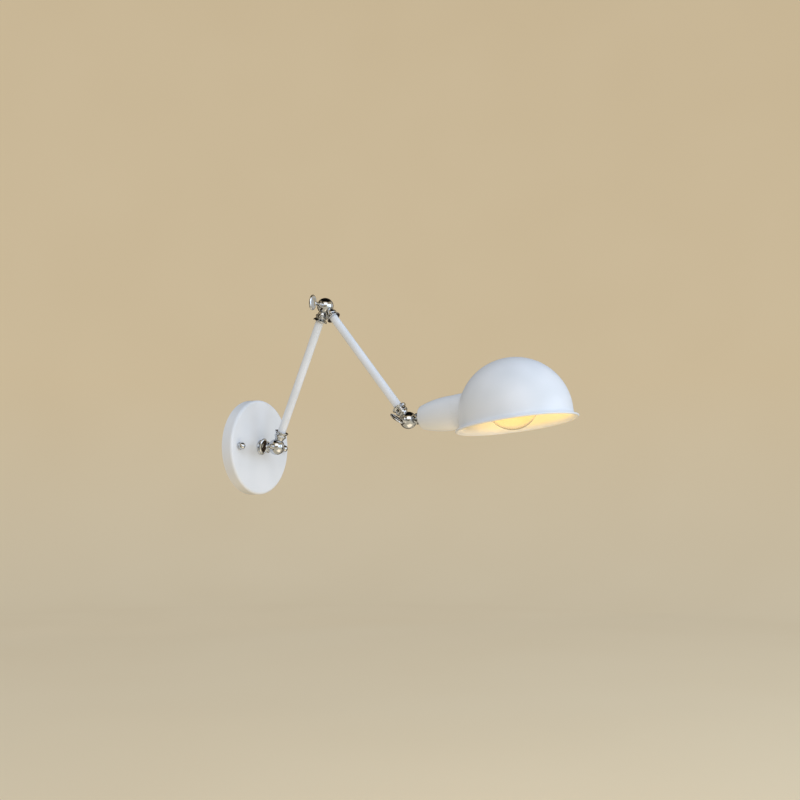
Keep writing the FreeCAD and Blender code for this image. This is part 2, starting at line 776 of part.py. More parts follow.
def lampholder():
    """The lampholder: cap on the nipple, body with its flange, screw shell, contacts and ring."""
    cap = new_body("lampholder_cap", "head")
    neck_end = "holder_cap_start + holder_cap_neck_length"
    inner = "holder_radius - holder_cap_wall"
    slope = "holder_radius - holder_cap_neck_radius"
    turned(cap, [
        ("pipe_hole", "holder_cap_start"),
        ("holder_cap_neck_radius", "holder_cap_start"),
        ("holder_cap_neck_radius", neck_end, slope, -1),
        ("holder_radius", f"{neck_end} + {slope}"),
        ("holder_radius", "holder_floor"),
        (inner, "holder_floor"),
        (inner, f"{neck_end} + {slope}"),
        ("holder_cap_neck_radius", f"{neck_end} + holder_cap_wall"),
        ("pipe_hole", f"{neck_end} + holder_cap_wall"),
    ])
    body = new_body("lampholder_body", "head")
    turned(body, [
        ("0", "holder_floor"),
        ("holder_radius", "holder_floor"),
        ("holder_radius", "spout_start - holder_flange_thickness"),
        ("holder_flange_radius", "spout_start - holder_flange_thickness"),
        ("holder_flange_radius", "spout_start"),
        ("holder_radius", "spout_start"),
        ("holder_radius", "holder_end"),
        ("holder_bore_radius", "holder_end"),
        ("holder_bore_radius", "holder_cavity"),
        ("0", "holder_cavity"),
    ])
    tube("socket_shell", "head", "shell_radius", "shell_radius - shell_wall",
         "holder_cavity + shell_lead", "holder_end - face_gap")
    contact = new_body("centre_contact", "head")
    turned(contact, [
        ("0", "holder_cavity"),
        ("contact_post_radius", "holder_cavity"),
        ("contact_post_radius", "contact_top - contact_thickness"),
        ("contact_radius", "contact_top - contact_thickness"),
        ("contact_radius", "contact_top"),
        ("0", "contact_top"),
    ])
    screws = []
    for side in ("-", ""):
        screw = new_body("terminal_" + ("left" if side else "right"), kept=False)
        turned(screw, rectangle("0", "holder_floor - terminal_height", "terminal_radius", "holder_floor"))
        seat(screw, "head")
        screw.setExpression("Placement.Base.x", bound(f"{side}terminal_spacing / 2"))
        screws.append(screw)
    group("lampholder_terminals", screws)
    ring_bore = "holder_radius + ring_clearance"
    ring_outer = "spout_radius - spout_wall - ring_gap"
    ring = new_body("shade_ring", "head")
    ring_end = "spout_seat + ring_length"
    turned(ring, [
        (ring_bore, "spout_seat"),
        (ring_outer, "spout_seat"),
        (ring_outer, f"{ring_end} - ring_chamfer"),
        (f"{ring_outer} - ring_chamfer", ring_end),
        (ring_bore, ring_end),
    ])


def shade_bowl():
    """The spun bowl with its flared rim and rolled edge, and the spout that meets the cup."""
    shell = new_body("bowl_shell", kept=False)
    inner = "shade_radius - shade_wall"
    flare_middle = "shade_radius + flare_bow"
    flare_end = "-(skirt_height + flare_height)"
    turned(shell, [
        ("0", "shade_radius", "shade_radius", -1),
        ("shade_radius", "0"),
        ("shade_radius", "-skirt_height", "flare_bow", 1),
        ("shade_radius + flare_width", flare_end),
        (f"{flare_middle} - (flare_bow - flare_width) * flare_inner",
         "-(skirt_height + flare_height * flare_inner)", "flare_bow + shade_wall", -1),
        (inner, "-skirt_height"),
        (inner, "0", inner, 1),
        ("0", inner),
    ])
    shell.Placement = FreeCAD.Placement(FreeCAD.Vector(), FreeCAD.Rotation(X_AXIS, -90))
    shell.setExpression("Placement.Base.y", bound("-shade_drop"))
    shell.setExpression("Placement.Base.z", bound("shade_reach"))
    shell.setExpression("Placement.Rotation.Angle", bound("-90 - shade_pitch"))
    bead = doc.addObject("Part::Torus", "rim_bead")
    bind(bead, Radius1="shade_radius + flare_width", Radius2="rim_bead_radius")
    bead.Placement = FreeCAD.Placement(FreeCAD.Vector(), FreeCAD.Rotation(X_AXIS, -90))
    low = "(skirt_height + flare_height + rim_bead_drop)"
    bead.setExpression("Placement.Base.y", bound(f"-shade_drop - {low} * cos(shade_pitch)"))
    bead.setExpression("Placement.Base.z", bound(f"shade_reach + {low} * sin(shade_pitch)"))
    bead.setExpression("Placement.Rotation.Angle", bound("-90 - shade_pitch"))
    core = doc.addObject("Part::Sphere", "bowl_core")
    bind(core, Radius="shade_radius - shade_wall / 2")
    core.setExpression("Placement.Base.y", bound("-shade_drop"))
    core.setExpression("Placement.Base.z", bound("shade_reach"))
    spout = round_bar("spout_bar", "spout_radius", "spout_start", "spout_overrun")
    bore = round_bar("spout_bore", "spout_radius - spout_wall", "spout_seat", "spout_overrun")
    hole_radius = "holder_radius + ring_clearance"
    hole = round_bar("holder_hole", hole_radius, "cup_end - shade_wall", "spout_overrun")
    spout_wall = boolean("Part::Cut", "spout_wall", Base=spout, Tool=core)
    solid = boolean("Part::MultiFuse", "bowl_solid", Shapes=[shell, bead, spout_wall])
    hollow = boolean("Part::MultiFuse", "bowl_hollow", Shapes=[bore, hole])
    bowl = boolean("Part::Cut", "bowl_cut", Base=solid, Tool=hollow)
    keep(seat(bowl, "head"), "shade_bowl")


def round_bar(name, radius, start, length):
    """A round bar along its frame's Z."""
    bar = doc.addObject("Part::Cylinder", name)
    bind(bar, Radius=radius, Height=length)
    bar.setExpression("Placement.Base.z", bound(start))
    return bar


def boolean(kind, name, **operands):
    """A boolean of two or more objects."""
    feature = doc.addObject(kind, name)
    for key, operand in operands.items():
        setattr(feature, key, operand)
    return feature


def bulb():
    """The bulb: glass, screw cap, insulator, contact, stem with its leads, and filament."""
    glass = new_body("bulb_glass", "head")
    across = "bulb_radius * bulb_blend_across"
    along = "bulb_centre - bulb_radius * bulb_blend_along"
    inner_radius = "(bulb_radius - bulb_glass_wall)"
    inner_across = f"{inner_radius} * bulb_blend_across"
    inner_along = f"bulb_centre - {inner_radius} * bulb_blend_along"
    inner_neck = "bulb_neck_radius - bulb_glass_wall"
    turned(glass, [
        ("bulb_neck_radius", "stem_foot"),
        ("bulb_neck_radius", "bulb_waist", "bulb_bow", -1),
        (across, along, "bulb_radius", 1),
        ("bulb_radius", "bulb_centre", "bulb_radius", 1),
        ("0", "bulb_centre + bulb_radius"),
        ("0", f"bulb_centre + {inner_radius}", inner_radius, -1),
        (inner_radius, "bulb_centre", inner_radius, -1),
        (inner_across, inner_along, "bulb_bow + bulb_glass_wall", 1),
        (inner_neck, "bulb_waist"),
        (inner_neck, "stem_foot"),
    ])
    cap = new_body("bulb_cap", "head")
    cap_inner = "bulb_cap_radius - bulb_cap_wall"
    turned(cap, [
        ("bulb_cap_mouth_radius", "bulb_cap_start"),
        ("bulb_cap_foot_radius", "bulb_cap_start"),
        ("bulb_cap_radius", "bulb_cap_start + bulb_cap_foot_height"),
        ("bulb_cap_radius", "bulb_cap_end"),
        (cap_inner, "bulb_cap_end"),
        (cap_inner, "bulb_cap_start + bulb_cap_foot_height"),
        ("bulb_cap_mouth_radius", "bulb_cap_start + bulb_cap_wall"),
    ])
    insulator = new_body("bulb_insulator", "head")
    contact_end = "bulb_tip + bulb_contact_height"
    turned(insulator, [
        ("0", contact_end),
        ("bulb_contact_radius + bulb_cap_wall", contact_end),
        ("bulb_cap_foot_radius - bulb_cap_wall", "bulb_cap_start"),
        ("0", "bulb_cap_start"),
    ])
    tip = new_body("bulb_contact", "head")
    turned(tip, [
        ("0", "bulb_tip"),
        ("bulb_contact_radius - bulb_contact_height", "bulb_tip"),
        ("bulb_contact_radius", contact_end),
        ("0", contact_end),
    ])
    stem_end = "stem_foot_end + stem_reach"
    stem = new_body("bulb_stem", "head")
    turned(stem, [
        ("0", "stem_foot"),
        (inner_neck, "stem_foot"),
        (inner_neck, "stem_foot_end"),
        ("stem_radius", "stem_foot_end"),
        ("stem_radius", stem_end),
        ("stem_radius / 2", f"{stem_end} + stem_radius"),
        ("0", f"{stem_end} + stem_radius"),
    ])
    leads = []
    for side in ("-", ""):
        lead = new_body("lead_" + ("left" if side else "right"), kept=False)
        turned(lead, rectangle("0", "stem_foot_end", "lead_wire_radius", "filament_z"))
        seat(lead, "head")
        lead.setExpression("Placement.Base.x", bound(f"{side}filament_radius"))
        leads.append(lead)
    group("bulb_leads", leads)
    filament = doc.addObject("Part::Torus", "filament_arc")
    bind(filament, Radius1="filament_radius", Radius2="filament_wire_radius")
    filament.Angle3 = FULL_TURN / 2
    keep(seat(filament, "filament"), "bulb_filament")


wall_plate()
mounting_bracket()
bracket_fasteners()
terminal_block()
base_fittings()
knuckle_half("base_knuckle_fixed", "base_fixed", near=True)
friction_washer("base_friction_washer", "base_fixed")
knuckle_half("base_knuckle_turning", "lower_arm", near=False)
arm_collar("lower_arm_collar_bottom", "lower_arm", at_far_end=False)
tube("lower_arm_tube", "lower_arm", "pipe_radius", "pipe_bore_radius", "socket_floor",
     "arm_length - socket_floor")
arm_collar("lower_arm_collar_top", "lower_arm", at_far_end=True)
knuckle_half("elbow_knuckle_lower", "elbow_fixed", near=True)
friction_washer("elbow_friction_washer", "elbow_fixed")
knuckle_half("elbow_knuckle_upper", "upper_arm", near=False)
arm_collar("upper_arm_collar_top", "upper_arm", at_far_end=False)
tube("upper_arm_tube", "upper_arm", "pipe_radius", "pipe_bore_radius", "socket_floor",
     "arm_length - socket_floor")
arm_collar("upper_arm_collar_bottom", "upper_arm", at_far_end=True)
knuckle_half("wrist_knuckle_arm", "wrist_fixed", near=True)
friction_washer("wrist_friction_washer", "wrist_fixed")
knuckle_half("wrist_knuckle_shade", "head", near=False, bead=False)
lamp_cup()
lampholder()
shade_bowl()
wing_screw("base_wing_screw", "base_wing")
wing_screw("elbow_wing_screw", "elbow_wing")
wing_screw("wrist_wing_screw", "wrist_wing")
bulb()

doc.recompute()
for item in doc.Objects:
    if "Invalid" in item.State or "Error" in item.State:
        raise RuntimeError(f"{item.Label} failed: {item.State}")
os.makedirs("parts", exist_ok=True)
for item in nodes:
    shape = item.Shape
    if shape.isNull() or not shape.isValid() or not shape.Solids:
        raise RuntimeError(f"{item.Label} has no valid solid")
for item in nodes:
    item.Shape.exportStep(f"parts/{item.Label}.step")
print(len(nodes), "sub-parts written")
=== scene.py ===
import json
import math

import bmesh
import bpy
from bpy.props import FloatProperty, FloatVectorProperty, IntProperty, PointerProperty, StringProperty
from mathutils import Matrix, Vector


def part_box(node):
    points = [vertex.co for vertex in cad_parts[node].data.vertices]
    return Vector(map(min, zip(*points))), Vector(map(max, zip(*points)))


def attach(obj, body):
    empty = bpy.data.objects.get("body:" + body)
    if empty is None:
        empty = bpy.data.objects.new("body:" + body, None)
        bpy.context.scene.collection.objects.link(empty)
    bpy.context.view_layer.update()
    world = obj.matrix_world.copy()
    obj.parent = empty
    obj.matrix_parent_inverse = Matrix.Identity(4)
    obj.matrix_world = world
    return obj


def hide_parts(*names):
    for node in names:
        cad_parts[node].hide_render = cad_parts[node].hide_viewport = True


bl_info = {
    "name": "Folding wall lamp",
    "version": (1, 0, 0),
    "blender": (4, 5, 0),
    "location": "View3D > Sidebar > Wall lamp",
    "description": "Dresses the frame of a folding wall lamp with its turned pieces and finishes",
    "category": "Object",
}

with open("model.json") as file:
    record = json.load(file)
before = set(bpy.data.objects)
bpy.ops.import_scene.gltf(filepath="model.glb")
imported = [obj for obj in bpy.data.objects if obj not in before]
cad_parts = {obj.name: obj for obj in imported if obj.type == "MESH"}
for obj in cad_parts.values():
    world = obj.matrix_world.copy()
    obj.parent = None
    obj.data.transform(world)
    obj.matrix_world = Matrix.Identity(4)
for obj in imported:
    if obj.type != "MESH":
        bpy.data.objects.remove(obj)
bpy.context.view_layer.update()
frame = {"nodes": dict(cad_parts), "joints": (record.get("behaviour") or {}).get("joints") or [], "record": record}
RECORD = frame["record"]
NODES = frame["nodes"]
BODY_OF = {node: body for body, nodes in RECORD["behaviour"]["bodies"].items() for node in nodes}
JOINTS = {joint["name"]: joint for joint in frame["joints"]}

MM = 0.001
# A unit, and the distance within which two places are one
MICROMETRE = 1e-6
# Room between pieces that rest on each other, and room round a piece in its hole
GAP = 0.06 * MM
FIT = 0.05 * MM
# Round outlines stop this many degrees up, short of the pole, where they close in one point
NEAR_POLE = 88
# A noise hardly leaves this span, so a range from it goes the whole way between its ends
CLOUD_SPAN = {"From Min": 0.3, "From Max": 0.7}

SIDE = Vector((1.0, 0.0, 0.0))
OUTWARD = Vector((0.0, -1.0, 0.0))
BASE = Vector(JOINTS["base_pivot"]["pos_m"])
ELBOW = Vector(JOINTS["elbow_pivot"]["pos_m"])
WRIST = Vector(JOINTS["shade_pivot"]["pos_m"])
LOWER_RUN = (ELBOW - BASE).normalized()
UPPER_RUN = (WRIST - ELBOW).normalized()
HEAD_RUN = Vector(JOINTS["bulb_turn"]["axis"]).normalized()
# What the lights and cards look at
LAMP_MIDDLE = Vector((0.0, -0.2, 0.05))
SHADE_MOUTH = Vector((0.0, -0.36, -0.03))

PAINT = "White powder coat"
CHROME = "Polished chrome"
ZINC = "Zinc plated steel"
BRASS = "Turned brass"
FIBRE = "Pressed fibre"
ALUMINIUM = "Rolled aluminium"
GLASS = "Clear bulb glass"
TUNGSTEN = "Glowing tungsten"
PHENOLIC = "Black phenolic"
NYLON = "Moulded nylon"
CAP_GLASS = "Black cap glass"
PAPER = "Studio paper"


def frame_at(place, run):
    """The matrix of a frame at a place, with its Z along a run and its X along the pivots."""
    turn = Matrix((SIDE, run.cross(SIDE), run)).transposed().to_4x4()
    return Matrix.Translation(place) @ turn


# Each turned piece lies along the Z of one of these frames
FRAMES = {
    "wall": frame_at(Vector(), OUTWARD),
    "base_fixed": frame_at(BASE, -OUTWARD),
    "lower_start": frame_at(BASE, LOWER_RUN),
    "lower_end": frame_at(ELBOW, -LOWER_RUN),
    "upper_start": frame_at(ELBOW, UPPER_RUN),
    "upper_end": frame_at(WRIST, -UPPER_RUN),
    "head": frame_at(WRIST, HEAD_RUN),
}


def length(label, about, millimetres):
    """A size that a user may change, given in millimetres and kept in metres."""
    return FloatProperty(name=label, description=about, default=millimetres * MM, unit="LENGTH",
                         precision=5)


def angle(label, about, degrees):
    """An angle that a user may change, given in degrees."""
    return FloatProperty(name=label, description=about, default=math.radians(degrees),
                         subtype="ANGLE")


def power(label, about, watts):
    """The power of a light that a user may change."""
    return FloatProperty(name=label, description=about, default=watts, unit="POWER")


def colour(label, about, code):
    """A colour that a user may change, as an sRGB hex code."""
    return StringProperty(name=label, description=about, default=code)


class FixingSizes(bpy.types.PropertyGroup):
    """Sizes of what fastens the lamp to the wall."""

    plate_depth: length("Plate depth", "How far the plate's face stands off the wall", 15.0)
    stud_spacing: length("Stud spacing", "Distance between the two studs", 90.0)
    stud_radius: length("Stud radius", "Radius of the studs' thread", 2.0)
    stud_seat: length("Stud seat", "Height of the back of the bracket's raised ends", 4.0)
    stud_tip: length("Stud tip", "Height of the studs' ends, inside their nuts", 20.5)
    stud_round: length("Stud rounding", "Rounding of the studs' ends", 0.5)
    stud_pitch: length("Stud pitch", "Pitch of the studs' thread", 0.7)
    stud_thread: length("Stud thread", "Depth of the studs' thread", 0.3)
    head_radius: length("Head radius", "Radius of the pan heads", 3.8)
    head_height: length("Head height", "Height of the pan heads", 2.4)
    slot_width: length("Slot width", "Width of the slots in the pan heads", 0.8)
    slot_depth: length("Slot depth", "Depth of the slots in the pan heads", 1.0)
    nut_radius: length("Nut radius", "Radius of the cap nuts' skirt", 4.6)
    nut_skirt: length("Nut skirt", "Height of the cap nuts' skirt", 2.3)
    nut_step: length("Nut step", "Step from the skirt to the crown", 0.5)
    nut_crown: length("Nut crown", "Height of the cap nuts' crown", 6.2)
    pipe_wall: length("Pipe wall", "Thickness of the lamp pipe's wall", 1.0)
    pipe_pitch: length("Pipe pitch", "Pitch of the lamp pipe's thread", 1.0)
    pipe_thread: length("Pipe thread", "Depth of the lamp pipe's thread", 0.45)


class KnuckleSizes(bpy.types.PropertyGroup):
    """Sizes of the ball knuckles, their collars and the wing screws."""

    ball_radius: length("Ball radius", "Radius of the split ball", 10.2)
    ball_clearance: length("Ball clearance", "Room round the other half's ball", 0.35)
    near_face: length("Near face", "Where the near half ends at the split", 0.3)
    boss_radius: length("Boss radius", "Radius of the boss under the wing screw", 3.8)
    boss_reach: length("Boss reach", "Distance of the boss's face from the split", 12.0)
    edge: length("Edge rounding", "Rounding of the polished edges", 0.3)
    neck_root: length("Neck root", "Where the neck starts inside the ball", 8.2)
    neck_root_radius: length("Neck root radius", "Radius of the neck at the ball", 4.6)
    neck_radius: length("Neck radius", "Radius of the neck at its shoulder", 5.9)
    neck_shoulder: length("Neck shoulder", "Where the neck stops widening", 11.2)
    neck_end: length("Neck end", "Where the neck meets its collar", 16.0)
    socket_floor: length("Socket floor", "Depth of the neck's socket for the pipe", 12.0)
    pipe_hole: length("Pipe hole", "Radius of the sockets for the lamp pipe", 5.05)
    bead_radius: length("Bead radius", "Radius of the bead at the neck's end", 7.3)
    bead_length: length("Bead length", "Length of that bead", 3.2)
    bead_round: length("Bead rounding", "Rounding of the beads and rings", 1.1)
    groove_radius: length("Groove radius", "Radius of the groove beside the bead", 6.4)
    groove_length: length("Groove length", "Length of that groove", 1.0)
    lip_start: length("Lip start", "Where the collar's flare starts, past its groove", 0.5)
    lip_radius: length("Lip radius", "Radius of the collar's flared lip", 8.8)
    lip_thickness: length("Lip thickness", "Thickness of that lip", 1.0)
    collar_length: length("Collar length", "Length of an arm's collar", 4.4)
    foot_radius: length("Foot radius", "Radius of the foot collar's flange on the plate", 9.5)
    foot_thickness: length("Foot thickness", "Thickness of that flange", 2.2)
    foot_ring_radius: length("Foot ring radius", "Radius of the foot collar's ring", 7.6)
    wing_near: length("Wing near", "Near tip of the wing's oval, from the split", 21.0)
    wing_far: length("Wing far", "Far tip of the wing's oval, from the split", 35.0)
    wing_height: length("Wing height", "Height of the wing's oval", 19.0)
    wing_thickness: length("Wing thickness", "Thickness of the wing", 3.2)
    wing_dish: length("Wing dish", "Depth of the thumb dish in each side of the wing", 0.45)
    wing_foot_radius: length("Wing foot radius", "Radius of the screw's foot on the boss", 3.6)
    wing_foot_thickness: length("Wing foot thickness", "Thickness of that foot", 1.6)
    stem_radius: length("Stem radius", "Radius of the screw's stem over its foot", 2.3)
    stem_rise: length("Stem rise", "Height of the slope from the foot to the stem", 0.5)
    stem_waist: length("Stem waist", "Radius of the stem where it enters the wing", 2.1)
    stem_entry: length("Stem entry", "How far the stem goes into the wing before it tapers", 1.5)
    stem_tip_radius: length("Stem tip radius", "Radius of the stem's end inside the wing", 0.7)
    stem_short: length("Stem short", "How far the stem ends before the wing's middle", 2.0)
    shank_radius: length("Shank radius", "Radius of the screw's shank", 2.5)
    shank_reach: length("Shank reach", "How far the shank goes past the split", 7.4)
    base_wing_turn: angle("Base wing turn", "How the base wing screw stands", 12.6)
    elbow_wing_turn: angle("Elbow wing turn", "How the elbow wing screw stands", 5.0)
    wrist_wing_turn: angle("Wrist wing turn", "How the wrist wing screw stands", 127.0)


class HeadSizes(bpy.types.PropertyGroup):
    """Sizes of the cup, the lampholder and the shade, along the cup's axis from the wrist."""

    cup_start: length("Cup start", "Where the cup's nose starts", 17.2)
    cup_end: length("Cup end", "Where the cup ends", 65.0)
    cup_radius: length("Cup radius", "Radius of the cup's open end", 20.1)
    cup_wall: length("Cup wall", "Thickness of the cup's wall", 1.2)
    cup_taper: length("Cup taper", "How much narrower the cup is at its shoulder", 5.8)
    cup_taper_length: length("Cup taper length", "Length of the bowed taper", 36.0)
    cup_nose: length("Cup nose", "Rounding of the cup's nose", 5.0)
    trumpet_waist: length("Trumpet waist", "Radius of the trumpet collar's waist", 6.7)
    trumpet_lip: length("Trumpet lip", "Radius of the trumpet collar where its lip starts", 8.7)
    holder_radius: length("Holder radius", "Radius of the lampholder", 16.6)
    holder_bore: length("Holder bore", "Radius of the lampholder's socket", 14.2)
    holder_floor: length("Holder floor", "Where the lampholder's body starts", 46.0)
    holder_cavity: length("Holder cavity", "Where the lampholder's socket starts", 54.0)
    holder_end: length("Holder end", "Where the lampholder ends", 86.0)
    holder_plain: length("Holder plain", "Plain stretch between the flange and the thread", 1.5)
    holder_pitch: length("Holder pitch", "Pitch of the lampholder's outside thread", 2.5)
    holder_thread: length("Holder thread", "Depth of that thread", 0.5)
    flange_radius: length("Flange radius", "Radius of the lampholder's flange", 18.2)
    flange_thickness: length("Flange thickness", "Thickness of that flange", 3.0)
    ring_radius: length("Ring radius", "Radius of the shade ring", 18.9)
    ring_length: length("Ring length", "Length of the shade ring", 7.0)
    flute_depth: length("Flute depth", "Depth of the shade ring's grip flutes", 0.35)
    flutes: IntProperty(name="Flutes", description="Grip flutes round the shade ring", default=36)
    bowl_reach: length("Bowl reach", "Where the bowl's centre lies along the cup's axis", 134.5)
    bowl_drop: length("Bowl drop", "How far the bowl's centre lies below that axis", 13.0)
    bowl_pitch: angle("Bowl pitch", "How far the bowl's rim tips up from the cup's axis", 1.8)
    bowl_radius: length("Bowl radius", "Outer radius of the bowl", 63.8)
    bowl_wall: length("Bowl wall", "Thickness of the bowl", 1.0)
    skirt: length("Skirt", "Straight stretch between the bowl's round and its flare", 5.4)
    flare_width: length("Flare width", "How far the rim flares out", 4.0)
    flare_height: length("Flare height", "Height of that flare", 5.4)
    rim_radius: length("Rolled rim", "Radius of the rim's rolled edge", 1.2)
    rim_drop: length("Rolled rim drop", "How far the rolled edge lies below the flare's end", 0.25)
    rim_roll: angle("Rim roll", "How far round the edge is rolled to either side", 150.0)
    spout_radius: length("Spout radius", "Radius of the spout", 20.5)
    spout_wall: length("Spout wall", "Thickness of the spout's wall", 1.0)
    spout_floor: length("Spout floor", "Thickness of the spout's end", 1.2)


class BulbSizes(bpy.types.PropertyGroup):
    """Sizes of the bulb, along the cup's axis from the wrist."""

    centre: length("Globe centre", "Where the centre of the glass globe lies", 132.0)
    radius: length("Globe radius", "Radius of the glass globe", 30.0)
    wall: length("Glass wall", "Thickness of the glass", 0.8)
    neck_radius: length("Glass neck", "Radius of the glass neck", 12.4)
    neck_start: length("Glass start", "Where the glass starts inside the cap", 80.0)
    waist: length("Glass waist", "Where the neck starts to widen", 86.7)
    cap_start: length("Cap start", "Where the screw cap starts", 61.0)
    cap_end: length("Cap end", "Where the screw cap ends", 86.0)
    cap_radius: length("Cap radius", "Radius of the screw cap's crests", 13.3)
    cap_wall: length("Cap wall", "Thickness of the screw cap", 0.8)
    cap_mouth: length("Cap mouth", "Radius of the hole round the insulator", 7.2)
    cap_foot: length("Cap foot", "Radius of the screw cap's foot", 11.3)
    cap_foot_height: length("Cap foot height", "Height of that foot", 2.4)
    cap_plain: length("Cap plain", "Plain stretch at the screw cap's end", 3.0)
    cap_pitch: length("Cap pitch", "Pitch of the rolled thread", 3.6)
    cap_thread: length("Cap thread", "Depth of the rolled thread", 0.6)
    filament_place: length("Filament place", "Where the filament's arc starts", 129.0)
    filament_arc: length("Filament arc", "Radius of the filament's arc", 6.0)
    filament_coil: length("Filament coil", "Radius of the coiled wire", 0.5)
    filament_wire: length("Filament wire", "Radius of the wire itself", 0.13)
    filament_turns: IntProperty(name="Filament turns", description="Turns of the coil", default=26)


class Finishes(bpy.types.PropertyGroup):
    """Colours of the lamp's materials."""

    paint: colour("Paint", "White powder coat on the plate, arms, cup and shade", "#E7EBF1")
    paint_thin: colour("Paint, thin", "The coat where it is a little thinner", "#DEE3E9")
    chrome: colour("Chrome", "Polished chrome plate", "#D2D6DB")
    chrome_dull: colour("Chrome, dull", "Chrome plate where it is handled", "#BCC0C6")
    zinc: colour("Zinc", "Zinc plate on the bracket, pipe and nuts", "#AEB2B5")
    zinc_spangle: colour("Zinc spangle", "Darker grains in the zinc", "#8E9296")
    brass: colour("Brass", "Turned brass of the contacts", "#C9A45C")
    phenolic: colour("Phenolic", "Moulded lampholder and shade ring", "#1B1A1A")
    nylon: colour("Nylon", "Moulded terminal block", "#E4E0D4")
    fibre: colour("Fibre", "Pressed fibre washers", "#3A2E26")
    cap_metal: colour("Cap metal", "Rolled aluminium of the bulb's cap", "#C4C4C0")
    cap_glass: colour("Cap glass", "Black glass insulator of the bulb's cap", "#141416")
    glass: colour("Glass", "Clear bulb glass", "#FFFDF8")
    glow: colour("Glow", "Light of the burning filament", "#FFC95E")


class StageSettings(bpy.types.PropertyGroup):
    """The studio: floor, lights and camera."""

    floor: colour("Floor", "Plain pale floor and backdrop", "#E3D3B4")
    floor_height: length("Floor height", "Height of the floor from the plate's centre", -420.0)
    key_power: power("Key power", "Power of the window light", 18.0)
    fill_power: power("Fill power", "Power of the light beside the camera", 7.5)
    bounce_power: power("Bounce power", "Power of the light that comes back up", 0.5)
    bulb_power: power("Bulb power", "Power of the light that the bulb gives", 0.122)
    world_level: FloatProperty(name="World level", description="Strength of the even light", default=0.82)
    camera_place: FloatVectorProperty(name="Camera place", description="Where the camera stands",
                                      default=(-1.0321, -0.7853, -0.0595), subtype="XYZ", unit="LENGTH")
    camera_yaw: angle("Camera yaw", "Heading of the camera, from +Y towards +X", 61.17)
    camera_pitch: angle("Camera pitch", "How far the camera looks up", 5.38)
    lens: FloatProperty(name="Lens", description="Focal length of the camera", default=45.0, unit="CAMERA")
    sensor: FloatProperty(name="Sensor", description="Width of the camera's sensor", default=36.0,
                          unit="CAMERA")


class LampSettings(bpy.types.PropertyGroup):
    """All that a user may change on the lamp."""

    fixing: PointerProperty(type=FixingSizes)
    knuckle: PointerProperty(type=KnuckleSizes)
    head: PointerProperty(type=HeadSizes)
    bulb: PointerProperty(type=BulbSizes)
    finish: PointerProperty(type=Finishes)
    stage: PointerProperty(type=StageSettings)


def settings():
    """The lamp's settings in the current scene."""
    return bpy.context.scene.wall_lamp


def arc(centre, radius, start, end, steps):
    """Points on an arc about a centre, between two angles in degrees."""
    points = []
    for step in range(steps + 1):
        turn = math.radians(start + (end - start) * step / steps)
        points.append((centre[0] + radius * math.cos(turn), centre[1] + radius * math.sin(turn)))
    return points


def filleted(corners, steps=5):
    """A closed outline from corners, each its places across and along, and its rounding if it has one."""
    points = []
    for place, corner in enumerate(corners):
        here = Vector(corner[:2])
        if len(corner) < 3:
            points.append(tuple(here))
            continue
        back = Vector(corners[place - 1][:2]) - here
        ahead = Vector(corners[(place + 1) % len(corners)][:2]) - here
        half = back.angle(ahead) / 2
        # Two roundings share a short side, so neither takes quite half of it
        reach = min(corner[2] / math.tan(half), 0.49 * back.length, 0.49 * ahead.length)
        radius = reach * math.tan(half)
        middle = here + (back.normalized() + ahead.normalized()).normalized() * radius / math.sin(half)
        first = here + back.normalized() * reach - middle
        last = here + ahead.normalized() * reach - middle
        start = math.degrees(math.atan2(first.y, first.x))
        sweep = math.degrees(math.atan2(first.x * last.y - first.y * last.x, first.dot(last)))
        points += arc(middle, radius, start, start + sweep, steps)
    return points


def finer(points, low, high, steps):
    """An outline whose straight runs past two heights are cut into steps, for a thread to follow."""
    cut = []
    for place, point in enumerate(points):
        cut.append(point)
        following = points[(place + 1) % len(points)]
        bottom, top = sorted((point[1], following[1]))
        if bottom <= low + MICROMETRE and top >= high - MICROMETRE:
            for step in range(1, steps):
                share = step / steps
                cut.append((point[0] + (following[0] - point[0]) * share,
                            point[1] + (following[1] - point[1]) * share))
    return cut


def thread(start, end, pitch, depth, outside, sharp=False):
    """A ripple that winds a thread into the outside of a turned piece between two places."""
    def ripple(turn, across, along):
        if across < outside - MICROMETRE or not start < along < end:
            return 0.0
        fade = min(1.0, (along - start) / pitch, (end - along) / pitch)
        phase = ((along - start) / pitch - turn / (2 * math.pi)) % 1.0
        wave = abs(2 * phase - 1) if sharp else 0.5 + 0.5 * math.cos(2 * math.pi * phase)
        return -depth * fade * wave
    return ripple


def linked(name, data):
    """A new object in the scene that shows a mesh, a light or a camera."""
    obj = bpy.data.objects.new(name, data)
    bpy.context.scene.collection.objects.link(obj)
    return obj


def shaped(name, work, place=None):
    """A new object of a worked mesh, moved to its place."""
    if place is not None:
        work.transform(place)
    mesh = bpy.data.meshes.new(name)
    work.to_mesh(mesh)
    work.free()
    return linked(name, mesh)


def turned(name, outline, place=None, segments=96, ripple=None):
    """A solid of a closed outline turned about Z; ripple moves a point out by its turn and place."""
    work = bmesh.new()
    columns = []
    for step in range(segments):
        turn = 2 * math.pi * step / segments
        column = []
        for spot, (across, along) in enumerate(outline):
            if across < MICROMETRE:
                column.append(columns[0][spot] if columns else work.verts.new((0.0, 0.0, along)))
                continue
            out = across + (ripple(turn, across, along) if ripple else 0.0)
            column.append(work.verts.new((out * math.cos(turn), out * math.sin(turn), along)))
        columns.append(column)
    for step in range(segments):
        this, following = columns[step], columns[(step + 1) % segments]
        for spot in range(len(outline)):
            ahead = (spot + 1) % len(outline)
            ring = tuple(dict.fromkeys((this[spot], following[spot], following[ahead], this[ahead])))
            if len(ring) > 2:
                work.faces.new(ring)
    bmesh.ops.recalc_face_normals(work, faces=work.faces)
    return shaped(name, work, place)


